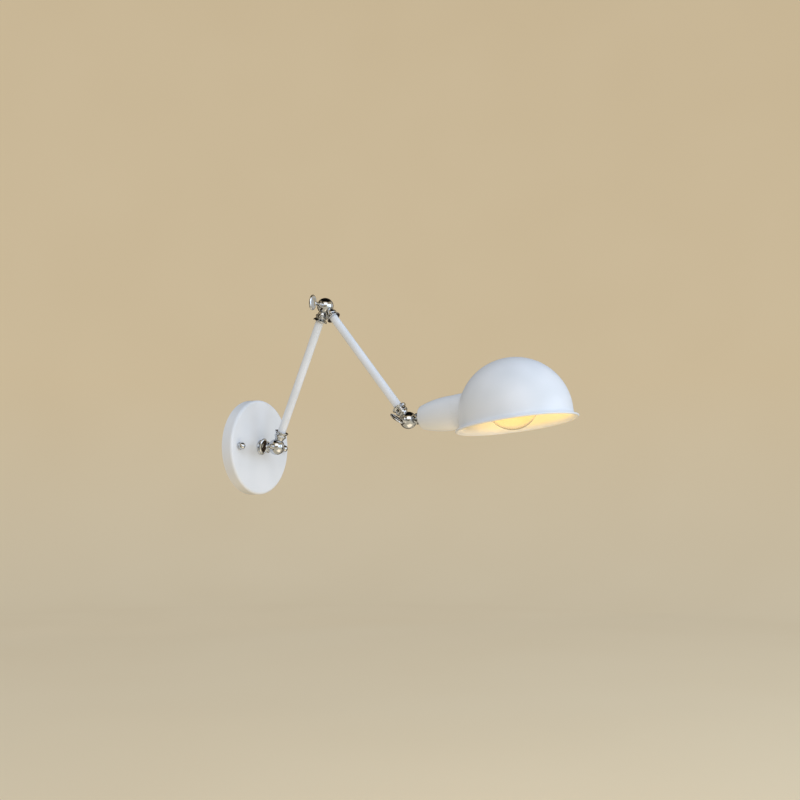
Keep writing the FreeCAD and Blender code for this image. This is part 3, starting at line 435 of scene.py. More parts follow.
def block(name, low, high, place=None):
    """A plain box between two corners."""
    work = bmesh.new()
    bmesh.ops.create_cube(work, size=1.0)
    for vert in work.verts:
        for axis in range(3):
            vert.co[axis] = low[axis] if vert.co[axis] < 0 else high[axis]
    return shaped(name, work, place)


def copied(name, node):
    """A copy of a CAD node with its place in its mesh and its flat triangles merged."""
    work = bmesh.new()
    work.from_mesh(NODES[node].data)
    work.transform(NODES[node].matrix_world)
    bmesh.ops.remove_doubles(work, verts=work.verts, dist=MICROMETRE)
    bmesh.ops.dissolve_limit(work, angle_limit=math.radians(1.0), verts=work.verts, edges=work.edges)
    bmesh.ops.recalc_face_normals(work, faces=work.faces)
    return shaped(name, work)


def settled(obj):
    """The object with its modifiers turned into plain mesh."""
    graph = bpy.context.evaluated_depsgraph_get()
    mesh = bpy.data.meshes.new_from_object(obj.evaluated_get(graph))
    old = obj.data
    obj.modifiers.clear()
    obj.data = mesh
    mesh.name = obj.name
    bpy.data.meshes.remove(old)
    if not mesh.polygons:
        raise RuntimeError(f"{obj.name} has no faces left")
    return obj


def discard(obj):
    """Take away a helper object and its mesh."""
    mesh = obj.data
    bpy.data.objects.remove(obj)
    bpy.data.meshes.remove(mesh)


def combined(obj, other, operation):
    """The object joined with, or cut by, another one that is then gone."""
    change = obj.modifiers.new("Boolean", "BOOLEAN")
    change.operation = operation
    change.solver = "EXACT"
    change.object = other
    settled(obj)
    discard(other)
    # The cut leaves points that are one and faces of no area along its line
    work = bmesh.new()
    work.from_mesh(obj.data)
    bmesh.ops.remove_doubles(work, verts=work.verts, dist=MICROMETRE)
    bmesh.ops.dissolve_degenerate(work, dist=MICROMETRE, edges=work.edges)
    work.to_mesh(obj.data)
    work.free()
    return obj


def bevelled(obj, width):
    """The object with its sharp edges rounded."""
    change = obj.modifiers.new("Bevel", "BEVEL")
    change.width = width
    change.segments = 3
    change.limit_method = "ANGLE"
    change.angle_limit = math.radians(40.0)
    return settled(obj)


def smoothed(obj, sharp=32.0):
    """Smooth shading that leaves the edges sharper than an angle crisp, weighted to the wide faces."""
    obj.data.shade_smooth()
    obj.data.set_sharp_from_angle(angle=math.radians(sharp))
    weights = obj.modifiers.new("Weighted normals", "WEIGHTED_NORMAL")
    weights.keep_sharp = True
    return settled(obj)


def coat(obj, material):
    """Give a whole mesh one material."""
    obj.data.materials.clear()
    obj.data.materials.append(bpy.data.materials[material])
    for face in obj.data.polygons:
        face.material_index = 0


def stand_for(node, obj, material):
    """Finish a piece: its material, its moving body, and the CAD node that it stands for."""
    coat(obj, material)
    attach(obj, BODY_OF[node])
    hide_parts(node)


def fit(node, name, outline, place, material, **options):
    """Put a turned piece, at its place along a frame, in a CAD node's stead."""
    stand_for(node, smoothed(turned(name, outline, FRAMES[place], **options)), material)


def add_node(tree, kind, inputs=None, **options):
    """Add a node with its options; each input is a value or the socket that feeds it."""
    node = tree.nodes.new(kind)
    for option, value in options.items():
        setattr(node, option, value)
    for key, value in (inputs or {}).items():
        if isinstance(value, bpy.types.NodeSocket):
            tree.links.new(value, node.inputs[key])
        else:
            node.inputs[key].default_value = value
    return node


def new_tree(name, sockets):
    """A geometry tree with named inputs; gives the tree and its inputs by name."""
    tree = bpy.data.node_groups.new(name, "GeometryNodeTree")
    tree.interface.new_socket("Geometry", in_out="OUTPUT", socket_type="NodeSocketGeometry")
    for label, kind in (*sockets, ("Material", "Material")):
        tree.interface.new_socket(label, in_out="INPUT", socket_type=f"NodeSocket{kind}")
    return tree, {socket.name: socket for socket in add_node(tree, "NodeGroupInput").outputs}


def close_tree(tree, made, material):
    """End a tree in real geometry with its material."""
    real = add_node(tree, "GeometryNodeRealizeInstances", {"Geometry": made}).outputs["Geometry"]
    finished = add_node(tree, "GeometryNodeSetMaterial", {"Geometry": real, "Material": material})
    add_node(tree, "NodeGroupOutput", {"Geometry": finished.outputs["Geometry"]})


def row_tree():
    """The tree that sets like pieces in a row: one piece, repeated at even steps from a start."""
    tree, values = new_tree("Row of pieces", (
        ("Piece", "Object"), ("Count", "Int"), ("Start", "Vector"), ("Step", "Vector")))
    line = add_node(tree, "GeometryNodeMeshLine", {
        "Count": values["Count"], "Start Location": values["Start"], "Offset": values["Step"]})
    piece = add_node(tree, "GeometryNodeObjectInfo", {"Object": values["Piece"]})
    placed = add_node(tree, "GeometryNodeInstanceOnPoints", {
        "Points": line.outputs["Mesh"], "Instance": piece.outputs["Geometry"]})
    close_tree(tree, placed.outputs["Instances"], values["Material"])
    return tree


def coil_tree():
    """The tree that winds a wire into a coil along half a ring, from one lead to the other."""
    points_per_turn, sides = 14.0, 8
    tree, values = new_tree("Coiled wire", (
        ("Arc", "Float"), ("Coil", "Float"), ("Wire", "Float"), ("Turns", "Int")))
    values["Along"] = add_node(tree, "GeometryNodeSplineParameter").outputs["Factor"]
    # Each sum is a new value, what makes it, and the values or numbers that it is made from
    for name, operation, *sources in (
            ("Points", "MULTIPLY", "Turns", points_per_turn),
            ("Bend", "MULTIPLY", "Along", math.pi),
            ("Wound", "MULTIPLY", "Along", "Turns"),
            ("Phase", "MULTIPLY", "Wound", 2 * math.pi),
            ("Swing", "COSINE", "Phase"),
            ("Sway", "SINE", "Phase"),
            ("Out", "MULTIPLY", "Coil", "Swing"),
            ("Reach", "ADD", "Arc", "Out"),
            ("Level", "COSINE", "Bend"),
            ("Rise", "SINE", "Bend"),
            ("X", "MULTIPLY", "Reach", "Level"),
            ("Y", "MULTIPLY", "Coil", "Sway"),
            ("Z", "MULTIPLY", "Reach", "Rise")):
        inputs = {place: values.get(source, source) for place, source in enumerate(sources)}
        values[name] = add_node(tree, "ShaderNodeMath", inputs, operation=operation).outputs[0]
    spot = add_node(tree, "ShaderNodeCombineXYZ", {axis: values[axis] for axis in "XYZ"})
    line = add_node(tree, "GeometryNodeCurvePrimitiveLine").outputs["Curve"]
    path = add_node(tree, "GeometryNodeResampleCurve", {"Curve": line, "Count": values["Points"]})
    wound = add_node(tree, "GeometryNodeSetPosition", {
        "Geometry": path.outputs["Curve"], "Position": spot.outputs["Vector"]})
    ring = add_node(tree, "GeometryNodeCurvePrimitiveCircle", {
        "Resolution": sides, "Radius": values["Wire"]})
    wire = add_node(tree, "GeometryNodeCurveToMesh", {
        "Curve": wound.outputs["Geometry"], "Profile Curve": ring.outputs["Curve"], "Fill Caps": True})
    close_tree(tree, wire.outputs["Mesh"], values["Material"])
    return tree


def grown(name, tree, **values):
    """A mesh made by a geometry tree, with a value for each of its inputs."""
    obj = linked(name, bpy.data.meshes.new(name))
    change = obj.modifiers.new(tree.name, "NODES")
    change.node_group = tree
    for item in tree.interface.items_tree:
        if item.in_out == "INPUT":
            change[item.identifier] = values[item.name.lower()]
    return settled(obj)


def pair(node, name, piece, row, spacing, material):
    """Put two like pieces in a row on the wall, made from one, in a CAD node's stead."""
    obj = grown(name, row, piece=piece, count=2, start=(-spacing / 2, 0.0, 0.0),
                step=(spacing, 0.0, 0.0), material=bpy.data.materials[material])
    discard(piece)
    obj.data.transform(FRAMES["wall"])
    stand_for(node, obj, material)


def linear(code):
    """The linear colour of an sRGB hex code, as Blender's colour sockets take it."""
    values = []
    for start in (1, 3, 5):
        share = int(code[start:start + 2], 16) / 255
        values.append(share / 12.92 if share <= 0.04045 else ((share + 0.055) / 1.055) ** 2.4)
    return (*values, 1.0)


def new_material(name, *grains):
    """Start a material on the object's own coordinates; gives its tree and a noise for each of its grains.

    A grain is its size in millimetres, and the detail and roughness of its noise.
    """
    material = bpy.data.materials.new(name)
    material.use_nodes = True
    tree = material.node_tree
    tree.nodes.clear()
    spots = add_node(tree, "ShaderNodeTexCoord").outputs["Object"]
    noises = []
    for millimetres, detail, rough in grains:
        node = add_node(tree, "ShaderNodeTexNoise", {
            "Vector": spots, "Scale": 1.0 / (millimetres * MM), "Detail": detail, "Roughness": rough})
        noises.append(node.outputs["Fac"])
    return tree, *noises


def surface(tree, colours, share, gloss=None, lift=None, more=None):
    """End a material's tree in its shader.

    A share mixes the two colours. gloss is a cloud and the roughness at its low and high spots, lift is a
    height, its depth in micrometres and how strongly it shows, and more are other inputs of the shader.
    """
    tone = add_node(tree, "ShaderNodeMix", {
        "Factor": share, "A": linear(colours[0]), "B": linear(colours[1])}, data_type="RGBA")
    inputs = {"Base Color": tone.outputs["Result"], **(more or {})}
    if gloss:
        cloud, low, high = gloss
        dull = add_node(tree, "ShaderNodeMapRange", {
            "Value": cloud, **CLOUD_SPAN, "To Min": low, "To Max": high})
        inputs["Roughness"] = dull.outputs["Result"]
    if lift:
        height, micrometres, strength = lift
        bump = add_node(tree, "ShaderNodeBump", {
            "Height": height, "Distance": micrometres * MICROMETRE, "Strength": strength})
        inputs["Normal"] = bump.outputs["Normal"]
    shader = add_node(tree, "ShaderNodeBsdfPrincipled", inputs)
    add_node(tree, "ShaderNodeOutputMaterial", {"Surface": shader.outputs["BSDF"]})
    return shader


def powder_coat(finish):
    """White powder coat: satin, with the soft ripple of a baked coat and hardly any colour change."""
    tree, cloud, peel = new_material(PAINT, (38.0, 1.0, 0.5), (1.6, 2.0, 0.5))
    share = add_node(tree, "ShaderNodeMapRange", {"Value": cloud, **CLOUD_SPAN}).outputs["Result"]
    surface(tree, (finish.paint, finish.paint_thin), share, (cloud, 0.34, 0.42), (peel, 14.0, 0.5),
            {"Specular IOR Level": 0.45})


def chrome(finish):
    """Polished chrome: a mirror with faint handling marks and fine polish lines."""
    tree, haze, lines = new_material(CHROME, (5.0, 4.0, 0.6), (2.2, 3.0, 0.7))
    # The lines run along the pivots, and are drawn as coarse as they need to show
    spots = add_node(tree, "ShaderNodeTexCoord").outputs["Object"]
    hairs = add_node(tree, "ShaderNodeMapping", {"Vector": spots, "Scale": (1.0, 9.0, 9.0)})
    tree.links.new(hairs.outputs["Vector"], lines.node.inputs["Vector"])
    share = add_node(tree, "ShaderNodeMapRange", {"Value": haze, **CLOUD_SPAN}).outputs["Result"]
    surface(tree, (finish.chrome, finish.chrome_dull), share, (haze, 0.05, 0.11),
            (lines, 1.2, 0.4), {"Metallic": 1.0})


def zinc(finish):
    """Zinc plated steel: dull grey with a fine crystal spangle."""
    tree, cloud = new_material(ZINC, (6.0, 3.0, 0.5))
    spots = add_node(tree, "ShaderNodeTexCoord").outputs["Object"]
    spangle = add_node(tree, "ShaderNodeTexVoronoi", {"Vector": spots, "Scale": 1.0 / (1.3 * MM)})
    share = add_node(tree, "ShaderNodeMath", {0: spangle.outputs["Color"], 1: cloud}, operation="MULTIPLY")
    surface(tree, (finish.zinc, finish.zinc_spangle), share.outputs[0], (cloud, 0.3, 0.46),
            (cloud, 6.0, 0.4), {"Metallic": 1.0})


def turned_brass(finish):
    """Turned brass: warm metal, a little tarnished, with fine tool marks."""
    tree, cloud, marks = new_material(BRASS, (4.0, 3.0, 0.5), (0.5, 2.0, 0.5))
    surface(tree, (finish.brass, "#9A7838"), cloud, (cloud, 0.22, 0.4), (marks, 5.0, 0.4),
            {"Metallic": 1.0})


def moulded(name, colours, gloss, grain):
    """A moulded plastic or glass: even colour, slight flow clouds and a fine grain from the mould."""
    tree, cloud, skin = new_material(name, (9.0, 2.0, 0.5), (grain, 2.0, 0.5))
    surface(tree, colours, cloud, (cloud, *gloss), (skin, 12.0, 0.5))


def fibre(finish):
    """Pressed fibre: dark, dry board with fine flecks."""
    tree, flecks = new_material(FIBRE, (0.6, 5.0, 0.7))
    surface(tree, (finish.fibre, "#1C1613"), flecks, (flecks, 0.75, 0.92), (flecks, 30.0, 0.7))


def rolled_aluminium(finish):
    """Rolled aluminium of the bulb's cap: thin bright sheet with a fine drawn grain."""
    tree, cloud, drawn = new_material(ALUMINIUM, (3.0, 4.0, 0.6), (0.35, 2.0, 0.5))
    surface(tree, (finish.cap_metal, "#9C9C98"), cloud, (cloud, 0.2, 0.34), (drawn, 5.0, 0.4),
            {"Metallic": 1.0})


def bulb_glass(finish):
    """Clear bulb glass: thin, a touch wavy, and warm, with a faint painted glow of the burning filament's light.
    """
    tree, wave = new_material(GLASS, (14.0, 1.0, 0.5))
    surface(tree, (finish.glass, "#FFF8EA"), wave, (wave, 0.0, 0.03), (wave, 40.0, 0.15),
            # The faint emission is painted light: the filament's glow shown as caught in the glass
            {"Transmission Weight": 1.0, "IOR": 1.2, "Emission Color": linear(finish.glow),
             "Emission Strength": 0.02})


def tungsten(finish):
    """Glowing tungsten: the burning wire, whose heat wavers a little from turn to turn."""
    tree, heat = new_material(TUNGSTEN, (1.2, 2.0, 0.5))
    glow = add_node(tree, "ShaderNodeMix", {
        "Factor": heat, "A": linear("#FFE7BE"), "B": linear(finish.glow)}, data_type="RGBA")
    surface(tree, ("#6B6259", "#4A433D"), heat, more={
        "Roughness": 0.5, "Emission Color": glow.outputs["Result"], "Emission Strength": 6.0})


def floor_paper(stage):
    """Seamless studio paper: plain, pale and matt."""
    tree, cloud = new_material(PAPER, (400.0, 1.0, 0.5))
    shader = surface(tree, (stage.floor, "#DFCEAE"), cloud, (cloud, 0.85, 0.95), more={
        "Emission Strength": 0.12, "Specular IOR Level": 0.1})
    tone = shader.inputs["Base Color"].links[0].from_socket
    tree.links.new(tone, shader.inputs["Emission Color"])


def plain_card(name, colours):
    """Matt card out of the camera's sight, which gives the chrome its dark and pale bands."""
    tree, cloud = new_material(name, (60.0, 1.0, 0.5))
    surface(tree, colours, cloud, (cloud, 0.9, 0.98), more={"Specular IOR Level": 0.0})


class LAMP_OT_finishes(bpy.types.Operator):
    """Make the lamp's materials and dress the CAD pieces that keep their own shape"""

    bl_idname = "lamp.finishes"
    bl_label = "Finishes"

    def execute(self, context):
        finish = settings().finish
        for make in (powder_coat, chrome, zinc, turned_brass, fibre, rolled_aluminium, bulb_glass,
                     tungsten):
            make(finish)
        moulded(PHENOLIC, (finish.phenolic, "#262423"), gloss=(0.24, 0.36), grain=0.8)
        moulded(NYLON, (finish.nylon, "#DAD5C6"), gloss=(0.42, 0.55), grain=0.6)
        moulded(CAP_GLASS, (finish.cap_glass, "#1F1F22"), gloss=(0.12, 0.25), grain=1.5)
        for material, nodes in (
                (PAINT, ("wall_plate", "lower_arm_tube", "upper_arm_tube")),
                (FIBRE, ("base_friction_washer", "elbow_friction_washer", "wrist_friction_washer")),
                (ZINC, ("earth_screw", "terminal_block_screws", "cup_nipple", "cup_nut",
                        "lampholder_terminals")),
                (BRASS, ("socket_shell", "centre_contact", "bulb_contact")),
                (PHENOLIC, ("lampholder_cap",)),
                (CAP_GLASS, ("bulb_insulator",)),
                (GLASS, ("bulb_stem",)),
                (ALUMINIUM, ("bulb_leads",))):
            for node in nodes:
                coat(NODES[node], material)
        return {"FINISHED"}


def cap_nuts(size, row):
    """The two cap nuts: a skirt on the plate, with the greater part of a ball as its crown."""
    step = size.nut_radius - size.nut_step
    skirt = size.plate_depth + size.nut_skirt
    tall = size.nut_crown
    bow = (step ** 2 + tall ** 2) / (2 * tall)
    low = math.degrees(math.asin((bow - tall) / bow))
    hole, roof = size.stud_radius + FIT, size.stud_tip + 2 * FIT
    outline = filleted([(hole, size.plate_depth), (size.nut_radius, size.plate_depth, 0.25 * MM),
                        (size.nut_radius, skirt, 0.4 * MM), (step, skirt, 0.15 * MM)])
    # The crown starts a little above the rounding at its foot
    outline += arc((0, skirt + tall - bow), bow, low + 3, 90, 28)[:-1]
    outline += [(0.0, skirt + tall), (0.0, roof), (hole, roof)]
    nut = smoothed(turned("cap_nut", outline))
    pair("cap_nuts", "cap_nuts_pair", nut, row, size.stud_spacing, CHROME)


def studs(size, row):
    """The two studs that hold the plate: threaded rods with slotted pan heads behind the bracket."""
    back = size.stud_seat - size.head_height
    outline = filleted([(0.0, back), (size.head_radius, back, 1.5 * MM),
                        (size.head_radius, size.stud_seat, 0.2 * MM), (size.stud_radius, size.stud_seat),
                        (size.stud_radius, size.stud_tip, size.stud_round), (0.0, size.stud_tip)])
    outline = finer(outline, size.stud_seat, size.stud_tip - size.stud_round, steps=170)
    winding = thread(size.stud_seat + size.stud_round, size.stud_tip, size.stud_pitch, size.stud_thread,
                     size.stud_radius, sharp=True)
    stud = turned("stud", outline, segments=64, ripple=winding)
    reach, half = 2 * size.head_radius, size.slot_width / 2
    slot = block("slot", (-reach, -half, back - size.slot_depth), (reach, half, back + size.slot_depth))
    combined(stud, slot, "DIFFERENCE")
    pair("bracket_studs", "stud_pair", smoothed(stud), row, size.stud_spacing, ZINC)


def base_pipe(size):
    """The threaded lamp pipe through the plate."""
    low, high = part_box("base_nipple")
    outer = (high[0] - low[0]) / 2
    inner = outer - size.pipe_wall
    start, end = -high[1], -low[1]
    outline = filleted([(inner, start), (outer, start, 0.4 * MM), (outer, end, 0.4 * MM), (inner, end)])
    outline = finer(outline, start + MM, end - MM, steps=200)
    winding = thread(start, end, size.pipe_pitch, size.pipe_thread, outer, sharp=True)
    fit("base_nipple", "base_nipple_thread", outline, "wall", ZINC, ripple=winding)


class LAMP_OT_fixings(bpy.types.Operator):
    """Make the cap nuts and, behind the plate, the studs, bracket, terminal block, pipe and its nut"""

    bl_idname = "lamp.fixings"
    bl_label = "Fixings"

    def execute(self, context):
        size, row = settings().fixing, row_tree()
        cap_nuts(size, row)
        studs(size, row)
        for node, material, rounding in (("mounting_bracket", ZINC, 0.3), ("terminal_block", NYLON, 0.4),
                                         ("base_nut", ZINC, 0.35)):
            piece = bevelled(copied(node + "_soft", node), rounding * MM)
            stand_for(node, smoothed(piece), material)
        base_pipe(size)
        return {"FINISHED"}


def half_ball(size, face, near):
    """The outline of half a ball: bored through and with a boss, or with a blind hole for the thread."""
    ball, hole = size.ball_radius, size.shank_radius + GAP
    first = math.degrees(math.asin(face / ball))
    last = math.degrees(math.acos(size.boss_radius / ball)) if near else 90
    corners = [(hole, face), (ball * math.cos(math.radians(first)), face, size.edge)]
    # The ball's arc starts a little past the rounding of its edge
    curve = arc((0, 0), ball, first + 4, last, 26)
    if near:
        corners += curve
        corners += [(size.boss_radius, size.boss_reach, size.edge), (hole, size.boss_reach)]
    else:
        floor = size.shank_reach + size.ball_clearance
        corners += curve[:-1] + [(0.0, ball), (0.0, floor), (hole, floor)]
    return filleted(corners)


def neck(size, bead):
    """The outline of a knuckle's neck, from inside the ball to a bead or a plain end, with its socket."""
    corners = [(0.0, size.neck_root), (size.neck_root_radius, size.neck_root),
               (size.neck_radius, size.neck_shoulder, 2 * MM)]
    if bead:
        start = size.neck_end - size.bead_length
        corners += [(size.neck_radius, start, 0.25 * MM), (size.bead_radius, start, size.bead_round),
                    (size.bead_radius, size.neck_end, size.bead_round)]
    else:
        corners += [(size.neck_radius, size.neck_end, size.edge)]
    corners += [(size.pipe_hole, size.neck_end), (size.pipe_hole, size.socket_floor),
                (0.0, size.socket_floor)]
    return filleted(corners)


def knuckle_half(node, place, near, bead=True):
    """One half of a ball knuckle: half a ball about X with its neck, cleared for the other half."""
    size = settings().knuckle
    face = size.near_face if near else size.near_face + GAP
    across = Matrix.Rotation(math.radians(-90 if near else 90), 4, "Y")
    half = turned(node + "_polished", half_ball(size, face, near), across)
    combined(half, turned("neck", neck(size, bead)), "UNION")
    cleared = size.ball_radius + size.ball_clearance
    first = math.degrees(math.asin(face / cleared))
    room = [(0.0, face)] + arc((0, 0), cleared, first, -90, 48)[:-1] + [(0.0, -cleared)]
    combined(half, turned("room", room, across), "DIFFERENCE")
    half.data.transform(FRAMES[place])
    stand_for(node, smoothed(half), CHROME)


class LAMP_OT_knuckles(bpy.types.Operator):
    """Make the six polished halves of the three ball knuckles"""

    bl_idname = "lamp.knuckles"
    bl_label = "Ball knuckles"

    def execute(self, context):
        knuckle_half("base_knuckle_fixed", "base_fixed", near=True)
        knuckle_half("base_knuckle_turning", "lower_start", near=False)
        knuckle_half("elbow_knuckle_lower", "lower_end", near=True)
        knuckle_half("elbow_knuckle_upper", "upper_start", near=False)
        knuckle_half("wrist_knuckle_arm", "upper_end", near=True)
        knuckle_half("wrist_knuckle_shade", "head", near=False, bead=False)
        return {"FINISHED"}


def arm_collar(size):
    """The outline of an arm's collar: a groove beside the neck's bead, then a flare to the lip."""
    start = size.neck_end
    groove = start + size.groove_length
    end = start + size.collar_length
    return filleted([
        (size.pipe_hole, start), (size.groove_radius, start, 0.15 * MM),
        (size.groove_radius, groove, 0.25 * MM), (size.bead_radius, groove + size.lip_start, 0.45 * MM),
        (size.lip_radius, end - size.lip_thickness, 0.35 * MM), (size.lip_radius, end, 0.4 * MM),
        (size.pipe_hole, end, 0.1 * MM)])


def foot_collar(size):
    """The outline of the collar on the plate: a flange, a groove and a ring under the knuckle."""
    low = settings().fixing.plate_depth
    top = low + size.foot_thickness
    ring = top + size.groove_length
    high = -BASE.y - size.neck_end
    return filleted([
        (size.pipe_hole, low), (size.foot_radius, low, 0.25 * MM), (size.foot_radius, top, 0.9 * MM),
        (size.groove_radius, top, 0.25 * MM), (size.groove_radius, ring, 0.25 * MM),
        (size.foot_ring_radius, ring, size.bead_round), (size.foot_ring_radius, high, size.bead_round),
        (size.pipe_hole, high)])


def trumpet_collar(size, head):
    """The outline of the collar at the cup's nose, which opens like a trumpet."""
    start, bore = size.neck_shoulder, size.neck_radius + FIT
    rise = head.cup_start - size.lip_thickness - start
    flare = head.trumpet_lip - head.trumpet_waist
    bow = (flare ** 2 + rise ** 2) / (2 * flare)
    swing = math.degrees(math.asin(rise / bow))
    outline = [(bore, start)] + arc((head.trumpet_waist + bow, start), bow, 180, 180 - swing, 12)
    outline += filleted([outline[-1], (size.lip_radius, head.cup_start, 0.45 * MM),
                         (bore, head.cup_start)])[1:]
    return outline


class LAMP_OT_collars(bpy.types.Operator):
    """Make the polished collars on the plate, at the ends of the arms and at the cup's nose"""

    bl_idname = "lamp.collars"
    bl_label = "Collars"

    def execute(self, context):
        size = settings().knuckle
        ends = arm_collar(size)
        for node, outline, place in (
                ("lower_arm_collar_bottom", ends, "lower_start"),
                ("lower_arm_collar_top", ends, "lower_end"),
                ("upper_arm_collar_top", ends, "upper_start"),
                ("upper_arm_collar_bottom", ends, "upper_end"),
                ("base_collar", foot_collar(size), "wall"),
                ("cup_collar", trumpet_collar(size, settings().head), "head")):
            fit(node, node + "_polished", outline, place, CHROME)
        return {"FINISHED"}


def dished_oval(name, size, middle):
    """The oval wing of a thumb screw, with a shallow dish for the thumb in each side."""
    rings, fullness = 16, 7
    face = []
    for ring in range(rings):
        share = math.sin(math.pi / 2 * ring / rings)
        bulge = size.wing_thickness / 2 * math.sqrt(1 - share ** fullness)
        face.append((share, bulge - size.wing_dish * (1 - share ** 2) ** 2))
    outline = face + [(1.0, 0.0)] + [(share, -height) for share, height in reversed(face)]
    # A disc of radius 1 is drawn out to the oval and stood on edge
    oval = Matrix.Diagonal(((size.wing_far - size.wing_near) / 2, size.wing_height / 2, 1.0, 1.0))
    place = Matrix.Translation((-middle, 0.0, 0.0)) @ Matrix.Rotation(math.pi / 2, 4, "X")
    return turned(name, outline, place @ oval, segments=72)


def wing_screw(node, place, turn):
    """A thumb screw along -X: its dished oval wing on a turned stem, foot and shank."""
    size = settings().knuckle
    middle = (size.wing_near + size.wing_far) / 2
    foot = size.boss_reach + GAP
    top = foot + size.wing_foot_thickness
    tip = middle - size.stem_short
    outline = filleted([
        (0.0, -size.shank_reach), (size.shank_radius, -size.shank_reach, 0.5 * MM),
        (size.shank_radius, foot), (size.wing_foot_radius, foot, 0.3 * MM),
        (size.wing_foot_radius, top, 0.5 * MM), (size.stem_radius, top + size.stem_rise, 0.8 * MM),
        (size.stem_waist, size.wing_near + size.stem_entry, 2 * MM), (size.stem_tip_radius, tip),
        (0.0, tip)])
    screw = dished_oval(node + "_polished", size, middle)
    stem = turned("stem", outline, Matrix.Rotation(math.radians(-90), 4, "Y"), segments=64)
    combined(screw, stem, "UNION")
    screw.data.transform(Matrix.Translation(place) @ Matrix.Rotation(turn, 4, "X"))
    stand_for(node, smoothed(screw, sharp=40.0), CHROME)


class LAMP_OT_wings(bpy.types.Operator):
    """Make the three wing screws that clamp the knuckles"""

    bl_idname = "lamp.wings"
    bl_label = "Wing screws"

    def execute(self, context):
        size = settings().knuckle
        wing_screw("base_wing_screw", BASE, size.base_wing_turn)
        wing_screw("elbow_wing_screw", ELBOW, size.elbow_wing_turn)
        wing_screw("wrist_wing_screw", WRIST, size.wrist_wing_turn)
        return {"FINISHED"}


def lamp_cup(size):
    """The bullet shaped cup: a rounded nose and a bowed taper that ends straight, with an even wall."""
    bow = (size.cup_taper ** 2 + size.cup_taper_length ** 2) / (2 * size.cup_taper)
    tilt = math.asin(size.cup_taper_length / bow)
    slope = math.degrees(tilt)
    nose = (size.cup_radius - size.cup_taper - size.cup_nose * math.cos(tilt),
            size.cup_start + size.cup_nose)
    bend = nose[1] - size.cup_nose * math.sin(tilt) + size.cup_taper_length
    taper = (size.cup_radius - bow, bend)
    hole = settings().knuckle.pipe_hole
    inner = size.cup_radius - size.cup_wall
    outline = [(hole, size.cup_start)] + arc(nose, size.cup_nose, -90, -slope, 14)
    outline += arc(taper, bow, -slope, 0, 24)[1:]
    outline += filleted([outline[-1], (size.cup_radius, size.cup_end, 0.35 * MM),
                         (inner, size.cup_end, 0.35 * MM), (inner, bend)])[1:-1]
    outline += arc(taper, bow - size.cup_wall, 0, -slope, 24)
    outline += arc(nose, size.cup_nose - size.cup_wall, -slope, -90, 14)[1:]
    outline += [(hole, size.cup_start + size.cup_wall)]
    fit("lamp_cup", "lamp_cup_painted", outline, "head", PAINT, segments=128)


def lampholder(size):
    """The lampholder's body: a flange that the shade rests on, and an outside thread for the shade ring."""
    flange = size.cup_end + GAP
    under = flange - size.flange_thickness
    outline = filleted([
        (0.0, size.holder_floor), (size.holder_radius, size.holder_floor, 0.5 * MM),
        (size.holder_radius, under, 0.3 * MM), (size.flange_radius, under, 0.4 * MM),
        (size.flange_radius, flange, 0.3 * MM), (size.holder_radius, flange),
        (size.holder_radius, size.holder_end, 0.8 * MM), (size.holder_bore, size.holder_end, 0.5 * MM),
        (size.holder_bore, size.holder_cavity, 0.4 * MM), (0.0, size.holder_cavity)])
    outline = finer(outline, flange, size.holder_end - MM, steps=64)
    winding = thread(flange + size.holder_plain, size.holder_end, size.holder_pitch, size.holder_thread,
                     size.holder_radius)
    fit("lampholder_body", "lampholder_threaded", outline, "head", PHENOLIC, ripple=winding)


def shade_ring(size):
    """The ring that holds the shade on the lampholder, with grip flutes round its outside."""
    bore = size.holder_radius + 2 * FIT
    low = size.cup_end + GAP + size.spout_floor
    high = low + size.ring_length
    outline = filleted([(bore, low, 0.3 * MM), (size.ring_radius, low, 0.5 * MM),
                        (size.ring_radius, high, 0.8 * MM), (bore, high, 0.4 * MM)])
    outside = size.ring_radius - 0.3 * MM

    def fluted(turn, across, along):
        if across < outside:
            return 0.0
        return -size.flute_depth * (0.5 + 0.5 * math.cos(size.flutes * turn)) ** 2

    fit("shade_ring", "shade_ring_fluted", outline, "head", PHENOLIC, segments=288, ripple=fluted)


class LAMP_OT_head(bpy.types.Operator):
    """Make the bullet shaped cup, the lampholder inside it and the ring that holds the shade"""

    bl_idname = "lamp.head"
    bl_label = "Cup and lampholder"

    def execute(self, context):
        size = settings().head
        lamp_cup(size)
        lampholder(size)
        shade_ring(size)
        return {"FINISHED"}


def spun_bowl(size):
    """The outline of the bowl: half a ball, a straight skirt, a flare and a rolled rim."""
    outer, inner = size.bowl_radius, size.bowl_radius - size.bowl_wall
    bow = (size.flare_width ** 2 + size.flare_height ** 2) / (2 * size.flare_width)
    thick = bow + size.bowl_wall
    middle = (outer + bow, -size.skirt)
    rim = (outer + size.flare_width, -size.skirt - size.flare_height - size.rim_drop)
    roll = math.degrees(size.rim_roll)
    # The flare runs into the rolled edge a little before the edge's own middle
    meet = bow - size.flare_width - size.rim_radius * math.cos(size.rim_roll)
    outline = [(0.0, outer)] + arc((0, 0), outer, NEAR_POLE, 0, 44)
    outline += arc(middle, bow, 180, 180 + math.degrees(math.acos(meet / bow)), 12)
    outline += arc(rim, size.rim_radius, roll, -roll, 20)
    outline += arc(middle, thick, 180 + math.degrees(math.acos(meet / thick)), 180, 12)
    outline += arc((0, 0), inner, 0, NEAR_POLE, 44) + [(0.0, inner)]
    return outline


